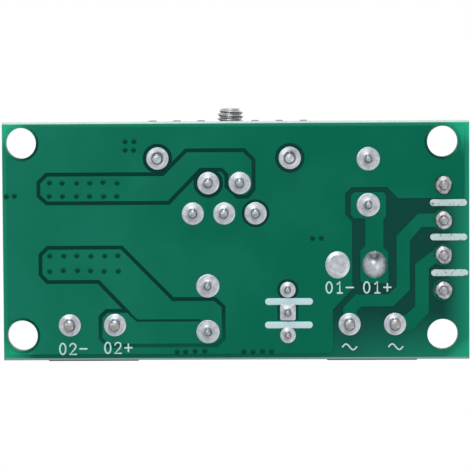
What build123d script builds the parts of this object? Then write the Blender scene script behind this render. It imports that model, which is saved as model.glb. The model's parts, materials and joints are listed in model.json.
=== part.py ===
from build123d import *
from math import cos, pi
import os

# Step-down power module, component side up. Millimetres.
# The origin is the centre of the four mounting holes on the solder face of the board.
# +X runs along the board towards the output terminal, +Y towards the heatsink, +Z up
# through the board towards the components. The leads stand out below z = 0.

# Repeated small rounds are drawn as polygons with this many sides
small_round_sides = 12
screw_sides = 20

# Board
board_length = 51.6
board_width = 26.4
board_thickness = 1.6
board_shift_x = -0.44
board_shift_y = -0.21
mount_inset_x = 2.515
mount_inset_y = 2.53
mount_hole_radius = 1.7
mount_ring_width = 0.3
score_bevel = 0.2
pour_margin_side = 0.55
pour_margin_back = 0.6
pour_margin_front = 0.66

# Copper pattern on the solder face
copper_relief = 0.07
groove_width = 0.42
slit_width = 0.25
ink_thickness = 0.03
ink_bar_width = 0.76
ink_bar_length = 5.3
ink_bar_short = 4.1
ink_bar_corner = 0.23

# Leads and solder
tail_length = 1.5
solder_height = 1.05
solder_neck = 0.16
solder_rim = 0.04
solder_stem_share = 0.42
lead_clearance = 0.02
cut_overrun = 1.0
joint_radius = 1.24
joint_radius_small = 0.88
joint_radius_bridge = 1.06
joint_radius_capacitor = 1.3

# Screw terminals, two poles each
terminal_pitch = 5.02
terminal_pin_y = -9.51
output_terminal_x = 15.5
ac_terminal_x = -15.5
terminal_width = 10.0
terminal_height = 10.0
terminal_front = 4.15
terminal_back = 3.9
terminal_top_bevel = 1.3
terminal_back_step = 1.1
terminal_back_step_height = 6.4
terminal_back_bevel = 0.5
terminal_front_wall = 0.9
terminal_rib = 0.45
terminal_rib_height = 6.0
terminal_rib_width = 1.3
terminal_rib_angle = 120
wire_entry_bevel = 0.4

# Clamp cage, clamp screw and contact of one pole
cage_width = 3.8
cage_height = 4.4
cage_length = 4.4
cage_wall = 0.5
cage_clearance = 0.1
cage_rest_height = 0.8
cage_travel = 2.0
clamp_screw_radius = 1.25
clamp_screw_clearance = 0.1
clamp_head_radius = 1.9
clamp_head_height = 1.5
clamp_slot_width = 0.55
clamp_slot_depth = 0.7
clamp_access_radius = 1.7
contact_width = 2.0
contact_thickness = 0.7
contact_pin_width = 1.0
contact_gap = 0.1
contact_hole_radius = 0.66
cage_to_contact = 0.25
cage_to_wall = 0.15

# Regulator, five staggered leads
regulator_x = 0.82
regulator_width = 10.2
regulator_body_height = 9.0
regulator_thickness = 4.5
regulator_standoff = 3.0
regulator_draft = 0.45
regulator_mark_radius = 0.7
regulator_mark_inset = 1.5
regulator_mark_depth = 0.15
tab_thickness = 1.3
tab_hole_radius = 1.9
tab_above_hole = 2.75
tab_notch_above_body = 0.9
tab_notch = 0.6
tab_corner = 1.2
regulator_lead_pitch = 1.735
regulator_lead_width = 0.8
regulator_lead_thickness = 0.45
regulator_lead_back = 2.5
regulator_lead_entry = 1.0
regulator_lead_drop = 0.75
regulator_lead_bend = 0.5
regulator_row_back_y = 6.18
regulator_row_front_y = 2.82
regulator_hole_radius = 0.56

# Heatsink, extruded
heatsink_x = 0.85
heatsink_width = 18.8
heatsink_height = 22.0
heatsink_standoff = 0.4
heatsink_base = 2.0
heatsink_side_length = 6.0
heatsink_side_thickness = 1.2
heatsink_fin_length = 2.1
heatsink_fin_thickness = 0.9
heatsink_fin_first = 3.2
heatsink_fins_each_side = 3
heatsink_boss_radius = 1.5
heatsink_pin_radius = 0.6
heatsink_pin_inset = 2.095
heatsink_pin_y = 8.92
heatsink_pin_depth = 5.0
heatsink_hole_radius = 0.78

# Heatsink screw and washers
screw_radius = 1.5
screw_length = 8.0
screw_head_radius = 2.75
screw_head_height = 2.1
screw_head_bevel = 0.8
screw_cross_width = 0.7
screw_cross_length = 2.8
screw_cross_depth = 1.2
screw_shift = 0.4
spring_washer_thickness = 0.6
spring_washer_radius = 2.6
spring_washer_gap = 0.5
flat_washer_thickness = 0.5
flat_washer_radius = 3.0
washer_to_body = 0.25
washer_hole_radius = 1.6

# Bridge rectifier, four leads in a row
bridge_x = -23.4
bridge_y = 0.05
bridge_length = 14.8
bridge_body_height = 11.3
bridge_thickness = 3.5
bridge_standoff = 2.6
bridge_corner = 2.6
bridge_draft = 0.25
bridge_lead_pitch = 3.87
bridge_lead_width = 0.86
bridge_lead_thickness = 0.56
bridge_shoulder_width = 1.4
bridge_shoulder_height = 1.6
bridge_lead_entry = 1.2
bridge_hole_radius = 0.6

# Radial capacitors
capacitor_radius = 5.0
capacitor_pitch = 5.08
capacitor_lead_radius = 0.3
capacitor_hole_radius = 0.46
capacitor_standoff = 0.3
sleeve_thickness = 0.18
sleeve_lip = 0.9
can_groove_depth = 0.55
can_groove_height = 2.6
can_sides = 30
bung_radius = 3.9
bung_height = 1.6
bung_recess = 0.35
vent_width = 0.3
vent_length = 6.0
vent_depth = 0.2
input_capacitor_x = -15.1
input_capacitor_y = 6.24
input_capacitor_height = 20.0
output_capacitor_x = 2.68
output_capacitor_y = -7.74
output_capacitor_height = 16.0

# Power inductor
inductor_to_heatsink = 0.8
inductor_y = 1.1
inductor_side = 12.0
inductor_corner = 2.2
inductor_rim_bevel = 0.3
inductor_height = 7.0
inductor_base_height = 0.8
inductor_bore_radius = 5.25
inductor_flange_radius = 4.95
inductor_flange_height = 1.0
inductor_post_radius = 2.4
inductor_winding_radius = 4.6
inductor_winding_gap = 0.05
inductor_terminal_width = 5.0
inductor_terminal_length = 2.2
inductor_terminal_thickness = 0.25
inductor_terminal_lug = 1.9

# Catch diode
diode_x = 15.6
diode_y = 10.2
diode_length = 4.4
diode_width = 3.6
diode_height = 2.1
diode_taper = 8
diode_lead_width = 2.0
diode_lead_thickness = 0.2
diode_lead_reach = 0.55
diode_lead_height = 1.1
diode_standoff = 0.15

# Trimmer
trimmer_x = -6.17
trimmer_y = -8.18
trimmer_length = 9.53
trimmer_width = 4.83
trimmer_height = 10.0
trimmer_standoff = 0.6
trimmer_foot = 1.0
trimmer_edge = 0.35
trimmer_pin_radius = 0.25
trimmer_pin_pitch = 2.52
trimmer_hole_radius = 0.42
trimmer_screw_end = 1.5
trimmer_screw_radius = 1.1
trimmer_screw_proud = 0.5
trimmer_screw_depth = 1.0
trimmer_shaft_radius = 0.7
trimmer_shaft_depth = 2.2
trimmer_screw_clearance = 0.08
trimmer_slot_width = 0.45
trimmer_slot_depth = 0.45

# Chip parts and indicator light on the component side
chip_length = 2.0
chip_width = 1.25
chip_resistor_height = 0.55
chip_capacitor_height = 1.1
chip_cap_length = 0.4
chip_cap_wall = 0.06
light_base_height = 0.35
light_lens_height = 0.75
light_lens_length = 1.2
chip_resistor_places = ((-6.2, -1.6), (8.9, 0.4))
chip_capacitor_places = ((-6.2, 0.6), (8.9, -3.4))
light_place = (8.9, -1.5)

# Bare wire pads
wire_pad_flat = (-11.69, -2.93)
wire_pad_domed = (-15.78, -2.92)
wire_pad_width = 2.7
wire_pad_length = 3.0
wire_pad_thickness = 0.08
wire_pad_flat_share = 0.5
wire_pad_dome = 0.75
wire_pad_dome_inset = 0.06
wire_pad_dome_bevel = 0.6

# Outlines of the copper pours, as the middle line of the bare groove round each
switch_pour = [
    (21.35, 4.85), (21.35, 6.3), (20.45, 7.2), (7.6, 7.2), (5.0, 9.8), (-1.4, 9.8),
    (-2.45, 8.7), (-2.45, 5.45), (-1.7, 4.65), (-0.65, 4.65), (0.55, 5.8), (0.55, 7.1),
    (1.1, 7.65), (3.4, 7.65), (6.95, 4.02), (20.45, 4.02),
]
output_pour = [
    (21.2, -3.9), (21.2, -1.7), (20.4, -0.9), (12.2, -0.9), (6.55, -6.65), (1.9, -6.65),
    (0.95, -7.5), (0.95, -11.05), (1.75, -11.8), (13.75, -11.8), (14.6, -11.0),
    (14.6, -8.6), (13.9, -7.93), (11.7, -7.93), (14.8, -4.7), (20.45, -4.7),
]
output_slit = [(11.7, -7.93), (10.55, -9.02), (3.6, -9.02)]

# Bare corner of the laminate between the ground pour and the board's left and front edges
bare_corner = [
    (-12.55, 2.65), (-12.55, 4.95), (-13.25, 5.65), (-17.15, 5.65), (-18.4, 4.4), (-27.0, 4.4),
    (-27.0, -14.0), (-10.8, -14.0), (-10.8, -12.75), (-11.15, -12.3), (-11.15, -7.9),
    (-13.3, -5.6), (-13.3, 1.8),
]
# Copper that lies in the bare corner
input_island = [
    (-13.15, 2.6), (-13.15, 4.7), (-13.55, 5.1), (-16.75, 5.1), (-17.05, 4.8), (-17.05, 2.4),
    (-16.75, 2.1), (-16.75, -1.05), (-17.3, -1.6), (-17.3, -4.7), (-17.0, -5.0), (-14.5, -5.0),
    (-14.2, -4.7), (-14.2, -1.4), (-14.75, -0.85), (-14.75, 2.2), (-13.55, 2.2),
]
ac_trace_back = [
    (-23.4, 2.7), (-20.6, 2.7), (-18.2, 0.25), (-18.2, -5.35), (-17.3, -6.22), (-13.7, -6.22),
    (-12.3, -7.65), (-12.3, -9.5), (-13.8, -9.5), (-13.8, -8.05), (-14.35, -7.55),
    (-17.8, -7.55), (-19.65, -5.75), (-19.65, -0.3), (-20.95, 1.2), (-23.4, 1.2),
]
ac_trace_front = [
    (-23.4, -1.1), (-22.3, -1.35), (-20.25, -2.85), (-20.25, -7.55), (-19.2, -8.5),
    (-18.0, -9.0), (-18.0, -10.4), (-19.95, -10.22), (-21.75, -8.25), (-21.75, -3.4),
    (-22.3, -2.95), (-23.4, -2.6),
]
# Bare ring round pads that the pour stops short of
pad_ring_width = 0.3
pad_ring_width_wide = 0.4
square_pad_surround = (2.3, 1.72)
# Ink bars between neighbouring pads: centre and length
ink_bars_on_copper = [((-6.3, -6.97), ink_bar_length), ((-6.27, -9.57), ink_bar_length)]
ink_bars_on_laminate = [
    ((-23.93, 3.9), ink_bar_short), ((-23.95, 0.1), ink_bar_short), ((-24.05, -3.85), ink_bar_short),
]

# Worked out from the sizes above
board_top = board_thickness
board_centre = (board_shift_x, board_shift_y)
mount_spacing_x = board_length - 2 * mount_inset_x
mount_spacing_y = board_width - 2 * mount_inset_y
terminal_front_y = terminal_pin_y - terminal_front
terminal_back_y = terminal_pin_y + terminal_back
cage_front_y = terminal_front_y + terminal_front_wall + cage_to_wall
cage_back_y = cage_front_y + cage_length
clamp_screw_y = cage_front_y + cage_length / 2
cage_inner_top = board_top + cage_rest_height + cage_height - cage_wall
contact_bar_top = cage_inner_top - contact_gap
contact_bar_bottom = contact_bar_top - contact_thickness
contact_back_y = cage_back_y + cage_to_contact + contact_thickness
cavity_top = board_top + cage_rest_height + cage_height + cage_travel + cage_clearance
clamp_head_bottom = cavity_top + cage_clearance
clamp_head_top = clamp_head_bottom + clamp_head_height
wire_entry_bottom = board_top + cage_rest_height + cage_wall
tab_back_y = regulator_row_back_y + regulator_lead_back
tab_front_y = tab_back_y - tab_thickness
regulator_bottom = board_top + regulator_standoff
tab_hole_height = regulator_body_height + flat_washer_radius + washer_to_body
regulator_height = tab_hole_height + tab_above_hole
tab_hole_z = regulator_bottom + tab_hole_height
heatsink_bottom = board_top + heatsink_standoff
heatsink_back_y = tab_back_y + heatsink_base
heatsink_pin_spacing = heatsink_width - 2 * heatsink_pin_inset
heatsink_fin_last = (heatsink_width - heatsink_fin_thickness) / 2
heatsink_fin_pitch = (heatsink_fin_last - heatsink_fin_first) / (heatsink_fins_each_side - 1)
inductor_reach = inductor_side / 2 + inductor_terminal_thickness
inductor_x = heatsink_x + heatsink_width / 2 + inductor_to_heatsink + inductor_reach
screw_x = regulator_x - screw_shift
washer_stack = spring_washer_thickness + flat_washer_thickness
screw_head_y = tab_front_y - washer_stack
bridge_bottom = board_top + bridge_standoff
capacitor_bottom = board_top + capacitor_standoff
inductor_bottom = board_top + inductor_terminal_thickness
inductor_core_bottom = inductor_bottom + inductor_base_height
trimmer_bottom = board_top + trimmer_standoff
trimmer_top = board_top + trimmer_height
trimmer_screw_y = trimmer_y + trimmer_length / 2 - trimmer_screw_end

os.makedirs("parts", exist_ok=True)


def save(piece, name):
    piece.part.label = name
    export_step(piece.part, f"parts/{name}.step")


def upright_plane(x, y, z=0.0):
    # Plane that faces -Y: its own x is +X and its own y is +Z
    return Plane(origin=(x, y, z), x_dir=(1, 0, 0), z_dir=(0, -1, 0))


def side_plane(x):
    # Plane that faces +X: its own x is +Y and its own y is +Z
    return Plane(origin=(x, 0, 0), x_dir=(0, 1, 0), z_dir=(1, 0, 0))


def outline_face(points):
    with BuildSketch() as face:
        with BuildLine():
            Polyline(*points, close=True)
        make_face()
    return face.sketch


def groove_face(points):
    with BuildSketch() as groove:
        add(outline_face(points))
        offset(amount=groove_width / 2, kind=Kind.INTERSECTION)
        with BuildSketch(mode=Mode.PRIVATE) as inside:
            add(outline_face(points))
            offset(amount=-groove_width / 2, kind=Kind.INTERSECTION)
        add(inside.sketch, mode=Mode.SUBTRACT)
    return groove.sketch


def solder_joints(places, pad_radius, lead_radius, lead_sketch):
    # Fillets round the leads: a foot that flares to the pad, and a stem with a bevelled end.
    # places: x, y and the height of the pad's face. lead_sketch: the lead's own section
    flat_share = cos(pi / small_round_sides)
    neck_radius = lead_radius + solder_neck
    stem_radius = neck_radius + (pad_radius - neck_radius) * solder_stem_share
    flare = (pad_radius - stem_radius) * flat_share
    foot_z = -solder_rim - flare
    with BuildPart() as solder:
        for x, y, base_z in places:
            with BuildSketch(Plane.XY.offset(base_z)) as foot:
                with Locations((x, y)):
                    RegularPolygon(pad_radius, small_round_sides)
            extrude(amount=foot_z - base_z)
        chamfer(solder.edges().group_by(Axis.Z)[0], flare)
        with BuildSketch(Plane.XY.offset(foot_z)) as stems:
            for x, y, base_z in places:
                with Locations((x, y)):
                    RegularPolygon(stem_radius, small_round_sides)
        extrude(amount=-solder_height - foot_z)
        chamfer(solder.edges().group_by(Axis.Z)[0], (stem_radius - neck_radius) * flat_share)
        with BuildSketch(Plane.XY.offset(-tail_length)) as bores:
            for x, y, base_z in places:
                with Locations((x, y)):
                    add(lead_sketch)
        extrude(amount=board_top + tail_length, mode=Mode.SUBTRACT)
    return solder


def rectangle_section(width, depth):
    with BuildSketch() as section:
        Rectangle(width + 2 * lead_clearance, depth + 2 * lead_clearance)
    return section.sketch


def round_section(radius):
    with BuildSketch() as section:
        RegularPolygon(radius + lead_clearance, small_round_sides)
    return section.sketch


# Places of the leads, in the order of the pins
output_pins = [(output_terminal_x + side * terminal_pitch / 2, terminal_pin_y) for side in (-1, 1)]
ac_pins = [(ac_terminal_x + side * terminal_pitch / 2, terminal_pin_y) for side in (-1, 1)]
regulator_back_pins = [
    (regulator_x + step * regulator_lead_pitch, regulator_row_back_y) for step in (-1, 1)
]
regulator_front_pins = [
    (regulator_x + step * regulator_lead_pitch, regulator_row_front_y) for step in (-2, 0, 2)
]
heatsink_pins_xy = [
    (heatsink_x + side * heatsink_pin_spacing / 2, heatsink_pin_y) for side in (-1, 1)
]
bridge_pins = [
    (bridge_x, bridge_y + step * bridge_lead_pitch) for step in (1.5, 0.5, -0.5, -1.5)
]
input_capacitor_pins = [
    (input_capacitor_x, input_capacitor_y + side * capacitor_pitch / 2) for side in (-1, 1)
]
output_capacitor_pins = [
    (output_capacitor_x, output_capacitor_y + side * capacitor_pitch / 2) for side in (-1, 1)
]
trimmer_pins_xy = [(trimmer_x, trimmer_y + step * trimmer_pin_pitch) for step in (-1, 0, 1)]

# Pads in a bare ring: place and outer radius of the ring
ringed_pads = [
    (heatsink_pins_xy[0], joint_radius + pad_ring_width_wide),
    (heatsink_pins_xy[1], joint_radius + pad_ring_width_wide),
    (regulator_back_pins[1], joint_radius + pad_ring_width_wide),
    (regulator_front_pins[0], joint_radius + pad_ring_width),
    (trimmer_pins_xy[2], joint_radius_small + pad_ring_width),
]

plated_holes = [
    (output_pins + ac_pins, contact_hole_radius),
    (regulator_back_pins + regulator_front_pins, regulator_hole_radius),
    (heatsink_pins_xy, heatsink_hole_radius),
    (bridge_pins, bridge_hole_radius),
    (input_capacitor_pins + output_capacitor_pins, capacitor_hole_radius),
    (trimmer_pins_xy, trimmer_hole_radius),
]


# Board: laminate whose bare areas lie below the masked copper
with BuildPart() as board:
    with BuildSketch() as board_outline:
        with Locations(board_centre):
            Rectangle(board_length, board_width)
    extrude(amount=board_thickness)
    long_edges = board.edges().filter_by(Axis.X)
    chamfer(long_edges, score_bevel)
    with BuildSketch() as bare_laminate:
        with Locations(board_centre):
            Rectangle(board_length + cut_overrun, board_width + cut_overrun)
        pour_width = board_width - pour_margin_back - pour_margin_front
        pour_y = board_shift_y + (pour_margin_front - pour_margin_back) / 2
        with Locations((board_shift_x, pour_y)):
            Rectangle(board_length - 2 * pour_margin_side, pour_width, mode=Mode.SUBTRACT)
        add(outline_face(bare_corner))
        for copper in (input_island, ac_trace_back, ac_trace_front):
            add(outline_face(copper), mode=Mode.SUBTRACT)
        with Locations(*bridge_pins, *ac_pins):
            RegularPolygon(joint_radius, small_round_sides, mode=Mode.SUBTRACT)
        add(groove_face(switch_pour))
        add(groove_face(output_pour))
        with BuildLine():
            slit = Polyline(*output_slit)
            offset(slit, amount=slit_width / 2, side=Side.BOTH)
        make_face()
        for place, ring_radius in ringed_pads:
            with Locations(place):
                RegularPolygon(ring_radius, screw_sides)
        with Locations(trimmer_pins_xy[1]):
            Rectangle(*square_pad_surround)
        with GridLocations(mount_spacing_x, mount_spacing_y, 2, 2):
            RegularPolygon(mount_hole_radius + mount_ring_width, screw_sides)
    extrude(amount=copper_relief, mode=Mode.SUBTRACT)
    with BuildSketch() as holes:
        with GridLocations(mount_spacing_x, mount_spacing_y, 2, 2):
            Circle(mount_hole_radius)
        for places, hole_radius in plated_holes:
            with Locations(*places):
                RegularPolygon(hole_radius, small_round_sides)
    extrude(amount=board_thickness, mode=Mode.SUBTRACT)
save(board, "board")

# White ink bars that part neighbouring pads
with BuildPart() as ink_bars:
    for bars, face_z in ((ink_bars_on_copper, 0), (ink_bars_on_laminate, copper_relief)):
        with BuildSketch(Plane.XY.offset(face_z - ink_thickness)) as bar_outlines:
            for place, bar_length in bars:
                with Locations(place):
                    Rectangle(bar_length, ink_bar_width)
            chamfer(bar_outlines.vertices(), ink_bar_corner)
        extrude(amount=ink_thickness)
save(ink_bars, "ink_bars")


# Screw terminals
def terminal_poles(center_x):
    return [center_x + side * terminal_pitch / 2 for side in (-1, 1)]


def make_terminal_housing(center_x):
    poles = terminal_poles(center_x)
    top = board_top + terminal_height
    step_z = board_top + terminal_back_step_height
    cavity_width = cage_width + 2 * cage_clearance
    entry_width = cage_width - 2 * cage_wall
    entry_height = contact_bar_bottom - wire_entry_bottom
    with BuildPart() as housing:
        with BuildSketch(side_plane(center_x - terminal_width / 2)) as side_view:
            with BuildLine():
                Polyline(
                    (terminal_front_y, board_top),
                    (terminal_front_y, top - terminal_top_bevel),
                    (terminal_front_y + terminal_top_bevel / 2, top),
                    (terminal_back_y - terminal_back_step - terminal_back_bevel, top),
                    (terminal_back_y - terminal_back_step, top - terminal_back_bevel),
                    (terminal_back_y - terminal_back_step, step_z + terminal_back_bevel),
                    (terminal_back_y, step_z),
                    (terminal_back_y, board_top),
                    close=True,
                )
            make_face()
        extrude(amount=terminal_width)
        # Joining rib on one side and its groove on the other
        with BuildSketch(Plane.XY.offset(board_top)) as rib:
            with Locations((center_x + terminal_width / 2, clamp_screw_y)):
                Trapezoid(
                    terminal_rib_width, terminal_rib, terminal_rib_angle,
                    rotation=-90, align=(Align.CENTER, Align.MIN),
                )
        extrude(amount=terminal_rib_height)
        with BuildSketch(Plane.XY.offset(board_top)) as groove:
            with Locations((center_x - terminal_width / 2, clamp_screw_y)):
                Trapezoid(
                    terminal_rib_width + 2 * lead_clearance, terminal_rib, terminal_rib_angle,
                    rotation=-90, align=(Align.CENTER, Align.MIN),
                )
        extrude(amount=terminal_rib_height, mode=Mode.SUBTRACT)
        # Cage cavities, open below, with the screw's pocket and its narrower access hole above
        cavity_front = terminal_front_y + terminal_front_wall
        with BuildSketch(Plane.XY.offset(board_top)) as cavities:
            with Locations(*[(x, (cavity_front + contact_back_y) / 2) for x in poles]):
                Rectangle(cavity_width, contact_back_y - cavity_front)
        extrude(amount=cavity_top - board_top, mode=Mode.SUBTRACT)
        with BuildSketch(Plane.XY.offset(board_top)) as pockets:
            with Locations(*[(x, clamp_screw_y) for x in poles]):
                RegularPolygon(clamp_head_radius + clamp_screw_clearance, screw_sides)
        extrude(amount=clamp_head_top + clamp_screw_clearance - board_top, mode=Mode.SUBTRACT)
        with BuildSketch(Plane.XY.offset(board_top)) as access_holes:
            with Locations(*[(x, clamp_screw_y) for x in poles]):
                RegularPolygon(clamp_access_radius, screw_sides)
        extrude(amount=terminal_height, mode=Mode.SUBTRACT)
        # Wire entries with a bevelled mouth
        entry_plane = upright_plane(0, terminal_front_y, wire_entry_bottom + entry_height / 2)
        with BuildSketch(entry_plane) as mouths:
            with Locations(*[(x, 0) for x in poles]):
                Rectangle(entry_width + 2 * wire_entry_bevel, entry_height + 2 * wire_entry_bevel)
        extrude(amount=-wire_entry_bevel, taper=45, mode=Mode.SUBTRACT)
        with BuildSketch(entry_plane) as entries:
            with Locations(*[(x, 0) for x in poles]):
                Rectangle(entry_width, entry_height)
        extrude(amount=-terminal_front_wall, mode=Mode.SUBTRACT)
    return housing


def make_terminal_contacts(center_x):
    # Each contact is one folded strip: bar through the cage, leg behind it, foot and pin below
    foot_bottom = board_top
    with BuildPart() as contacts:
        for x in terminal_poles(center_x):
            with BuildSketch(side_plane(x)) as strip:
                with BuildLine():
                    Polyline(
                        (terminal_front_y + terminal_front_wall, contact_bar_top),
                        (contact_back_y, contact_bar_top),
                        (contact_back_y, foot_bottom),
                        (terminal_pin_y - contact_thickness / 2, foot_bottom),
                        (terminal_pin_y - contact_thickness / 2, foot_bottom + contact_thickness),
                        (contact_back_y - contact_thickness, foot_bottom + contact_thickness),
                        (contact_back_y - contact_thickness, contact_bar_bottom),
                        (terminal_front_y + terminal_front_wall, contact_bar_bottom),
                        close=True,
                    )
                make_face()
            extrude(amount=contact_width / 2, both=True)
            with BuildSketch(Plane.XY.offset(-tail_length)) as pin:
                with Locations((x, terminal_pin_y)):
                    Rectangle(contact_pin_width, contact_thickness)
            extrude(amount=foot_bottom + tail_length)
    return contacts


def make_clamp_cage(x):
    middle_z = board_top + cage_rest_height + cage_height / 2
    with BuildPart() as cage:
        with BuildSketch(upright_plane(x, cage_back_y, middle_z)) as tube:
            Rectangle(cage_width, cage_height)
            Rectangle(cage_width - 2 * cage_wall, cage_height - 2 * cage_wall, mode=Mode.SUBTRACT)
        extrude(amount=cage_length)
        with BuildSketch(Plane.XY.offset(cage_inner_top)) as screw_hole:
            with Locations((x, clamp_screw_y)):
                RegularPolygon(clamp_screw_radius + clamp_screw_clearance, small_round_sides)
        extrude(amount=cage_wall, mode=Mode.SUBTRACT)
    return cage


def make_clamp_screw(x):
    with BuildPart() as screw:
        with BuildSketch(Plane.XY.offset(contact_bar_top + clamp_screw_clearance / 2)) as shank:
            with Locations((x, clamp_screw_y)):
                RegularPolygon(clamp_screw_radius, small_round_sides)
        extrude(amount=clamp_head_bottom - contact_bar_top - clamp_screw_clearance / 2)
        with BuildSketch(Plane.XY.offset(clamp_head_bottom)) as head:
            with Locations((x, clamp_screw_y)):
                RegularPolygon(clamp_head_radius, screw_sides)
        extrude(amount=clamp_head_height)
        with BuildSketch(Plane.XY.offset(clamp_head_top)) as slot:
            with Locations((x, clamp_screw_y)):
                Rectangle(2 * clamp_head_radius + cut_overrun, clamp_slot_width)
        extrude(amount=-clamp_slot_depth, mode=Mode.SUBTRACT)
    return screw


contact_section = rectangle_section(contact_pin_width, contact_thickness)
for side, center_x, pins in (("ac", ac_terminal_x, ac_pins), ("output", output_terminal_x, output_pins)):
    save(make_terminal_housing(center_x), f"{side}_terminal_housing")
    save(make_terminal_contacts(center_x), f"{side}_terminal_contacts")
    for number, pole_x in enumerate(terminal_poles(center_x), start=1):
        save(make_clamp_cage(pole_x), f"{side}_clamp_cage_{number}")
        save(make_clamp_screw(pole_x), f"{side}_clamp_screw_{number}")
    terminal_solder = solder_joints(
        [(x, y, 0) for x, y in pins], joint_radius, contact_pin_width / 2, contact_section
    )
    save(terminal_solder, f"solder_{side}_terminal")


# Regulator
def lead_path(x, row_y):
    top = (x, regulator_row_back_y, regulator_bottom + regulator_lead_entry)
    if row_y == regulator_row_back_y:
        return Line(top, (x, row_y, -tail_length))
    drop_z = regulator_bottom - regulator_lead_drop
    return FilletPolyline(
        top,
        (x, regulator_row_back_y, drop_z),
        (x, row_y, drop_z - regulator_lead_drop),
        (x, row_y, -tail_length),
        radius=regulator_lead_bend,
    )


def add_regulator_lead(x, row_y):
    with BuildLine(mode=Mode.PRIVATE) as path:
        lead_path(x, row_y)
    start = regulator_bottom + regulator_lead_entry
    with BuildSketch(Plane.XY.offset(start), mode=Mode.PRIVATE) as section:
        with Locations((x, regulator_row_back_y)):
            Rectangle(regulator_lead_width, regulator_lead_thickness)
    sweep(section.sketch, path=path.line)


regulator_side_x = regulator_x - regulator_width / 2
with BuildPart() as regulator_body:
    with BuildSketch(side_plane(regulator_side_x)) as mould:
        front_y = tab_back_y - regulator_thickness
        body_top = regulator_bottom + regulator_body_height
        with BuildLine():
            Polyline(
                (front_y + regulator_draft, regulator_bottom),
                (front_y, regulator_bottom + regulator_draft),
                (front_y, body_top - regulator_draft),
                (front_y + regulator_draft, body_top),
                (tab_front_y, body_top),
                (tab_front_y, regulator_bottom),
                close=True,
            )
        make_face()
    extrude(amount=regulator_width)
    front_edges = regulator_body.faces().sort_by(Axis.Y)[0].edges().filter_by(Axis.Z)
    chamfer(front_edges, regulator_draft)
    middle_z = regulator_bottom + regulator_body_height / 2
    with BuildSketch(upright_plane(regulator_x, front_y, middle_z)) as mark:
        mark_x = regulator_mark_inset - regulator_width / 2
        mark_z = regulator_body_height / 2 - regulator_mark_inset
        with Locations((mark_x, mark_z)):
            RegularPolygon(regulator_mark_radius, small_round_sides)
    extrude(amount=-regulator_mark_depth, mode=Mode.SUBTRACT)
    lead_steps = [step * regulator_lead_pitch for step in (-2, -1, 0, 1, 2)]
    with BuildSketch(Plane.XY.offset(regulator_bottom)) as sockets:
        with Locations(*[(regulator_x + step, regulator_row_back_y) for step in lead_steps]):
            Rectangle(regulator_lead_width, regulator_lead_thickness)
        link_back = regulator_row_back_y + regulator_lead_thickness / 2
        with Locations((regulator_x, (link_back + tab_front_y) / 2)):
            Rectangle(regulator_lead_width, tab_front_y - link_back)
    extrude(amount=regulator_lead_entry, mode=Mode.SUBTRACT)
save(regulator_body, "regulator_body")

with BuildPart() as regulator_tab:
    with BuildSketch(upright_plane(regulator_x, tab_back_y, regulator_bottom)) as tab_outline:
        with Locations((0, regulator_height / 2)):
            Rectangle(regulator_width, regulator_height)
        chamfer(tab_outline.vertices().group_by(Axis.Z)[-1], tab_corner)
        with Locations(
            (-regulator_width / 2, regulator_body_height + tab_notch_above_body),
            (regulator_width / 2, regulator_body_height + tab_notch_above_body),
        ):
            Rectangle(2 * tab_notch, tab_notch, mode=Mode.SUBTRACT)
        with Locations((0, tab_hole_height)):
            RegularPolygon(tab_hole_radius, screw_sides, mode=Mode.SUBTRACT)
    extrude(amount=tab_thickness)
    with BuildSketch(Plane.XY.offset(regulator_bottom)) as link:
        with Locations((regulator_x, (link_back + tab_front_y) / 2)):
            Rectangle(regulator_lead_width, tab_front_y - link_back)
    extrude(amount=regulator_lead_entry)
    add_regulator_lead(regulator_x, regulator_row_front_y)
save(regulator_tab, "regulator_tab")

with BuildPart() as regulator_leads:
    for x, row_y in regulator_back_pins + regulator_front_pins[::2]:
        add_regulator_lead(x, row_y)
save(regulator_leads, "regulator_leads")

ringed_regulator_pins = (regulator_front_pins[0], regulator_back_pins[1])
regulator_joint_places = [
    (x, y, copper_relief if (x, y) in ringed_regulator_pins else 0)
    for x, y in regulator_back_pins + regulator_front_pins
]
regulator_section = rectangle_section(regulator_lead_width, regulator_lead_thickness)
solder_regulator = solder_joints(
    regulator_joint_places, joint_radius, regulator_lead_width / 2, regulator_section
)
save(solder_regulator, "solder_regulator")

# Heatsink: base plate, side walls that wrap the regulator, short fins behind, pin bosses
with BuildPart() as heatsink:
    with BuildSketch(Plane.XY.offset(heatsink_bottom)) as section:
        with Locations((heatsink_x, tab_back_y)):
            Rectangle(heatsink_width, heatsink_base, align=(Align.CENTER, Align.MIN))
        wall_x = (heatsink_width - heatsink_side_thickness) / 2
        with Locations((heatsink_x - wall_x, heatsink_back_y), (heatsink_x + wall_x, heatsink_back_y)):
            Rectangle(
                heatsink_side_thickness, heatsink_base + heatsink_side_length,
                align=(Align.CENTER, Align.MAX),
            )
        for step in range(heatsink_fins_each_side):
            fin_x = heatsink_fin_first + step * heatsink_fin_pitch
            with Locations((heatsink_x - fin_x, heatsink_back_y), (heatsink_x + fin_x, heatsink_back_y)):
                Rectangle(
                    heatsink_fin_thickness, heatsink_fin_length, align=(Align.CENTER, Align.MIN)
                )
        with Locations(*heatsink_pins_xy):
            Circle(heatsink_boss_radius)
            RegularPolygon(heatsink_pin_radius, small_round_sides, mode=Mode.SUBTRACT)
    extrude(amount=heatsink_height)
    with BuildSketch(Plane.XY.offset(heatsink_bottom + heatsink_pin_depth)) as filled:
        with Locations(*heatsink_pins_xy):
            RegularPolygon(heatsink_pin_radius, small_round_sides)
    extrude(amount=heatsink_height - heatsink_pin_depth)
    with BuildSketch(upright_plane(screw_x, heatsink_back_y, tab_hole_z)) as tapped:
        RegularPolygon(screw_radius + lead_clearance, screw_sides)
    extrude(amount=heatsink_base, mode=Mode.SUBTRACT)
save(heatsink, "heatsink")

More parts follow.
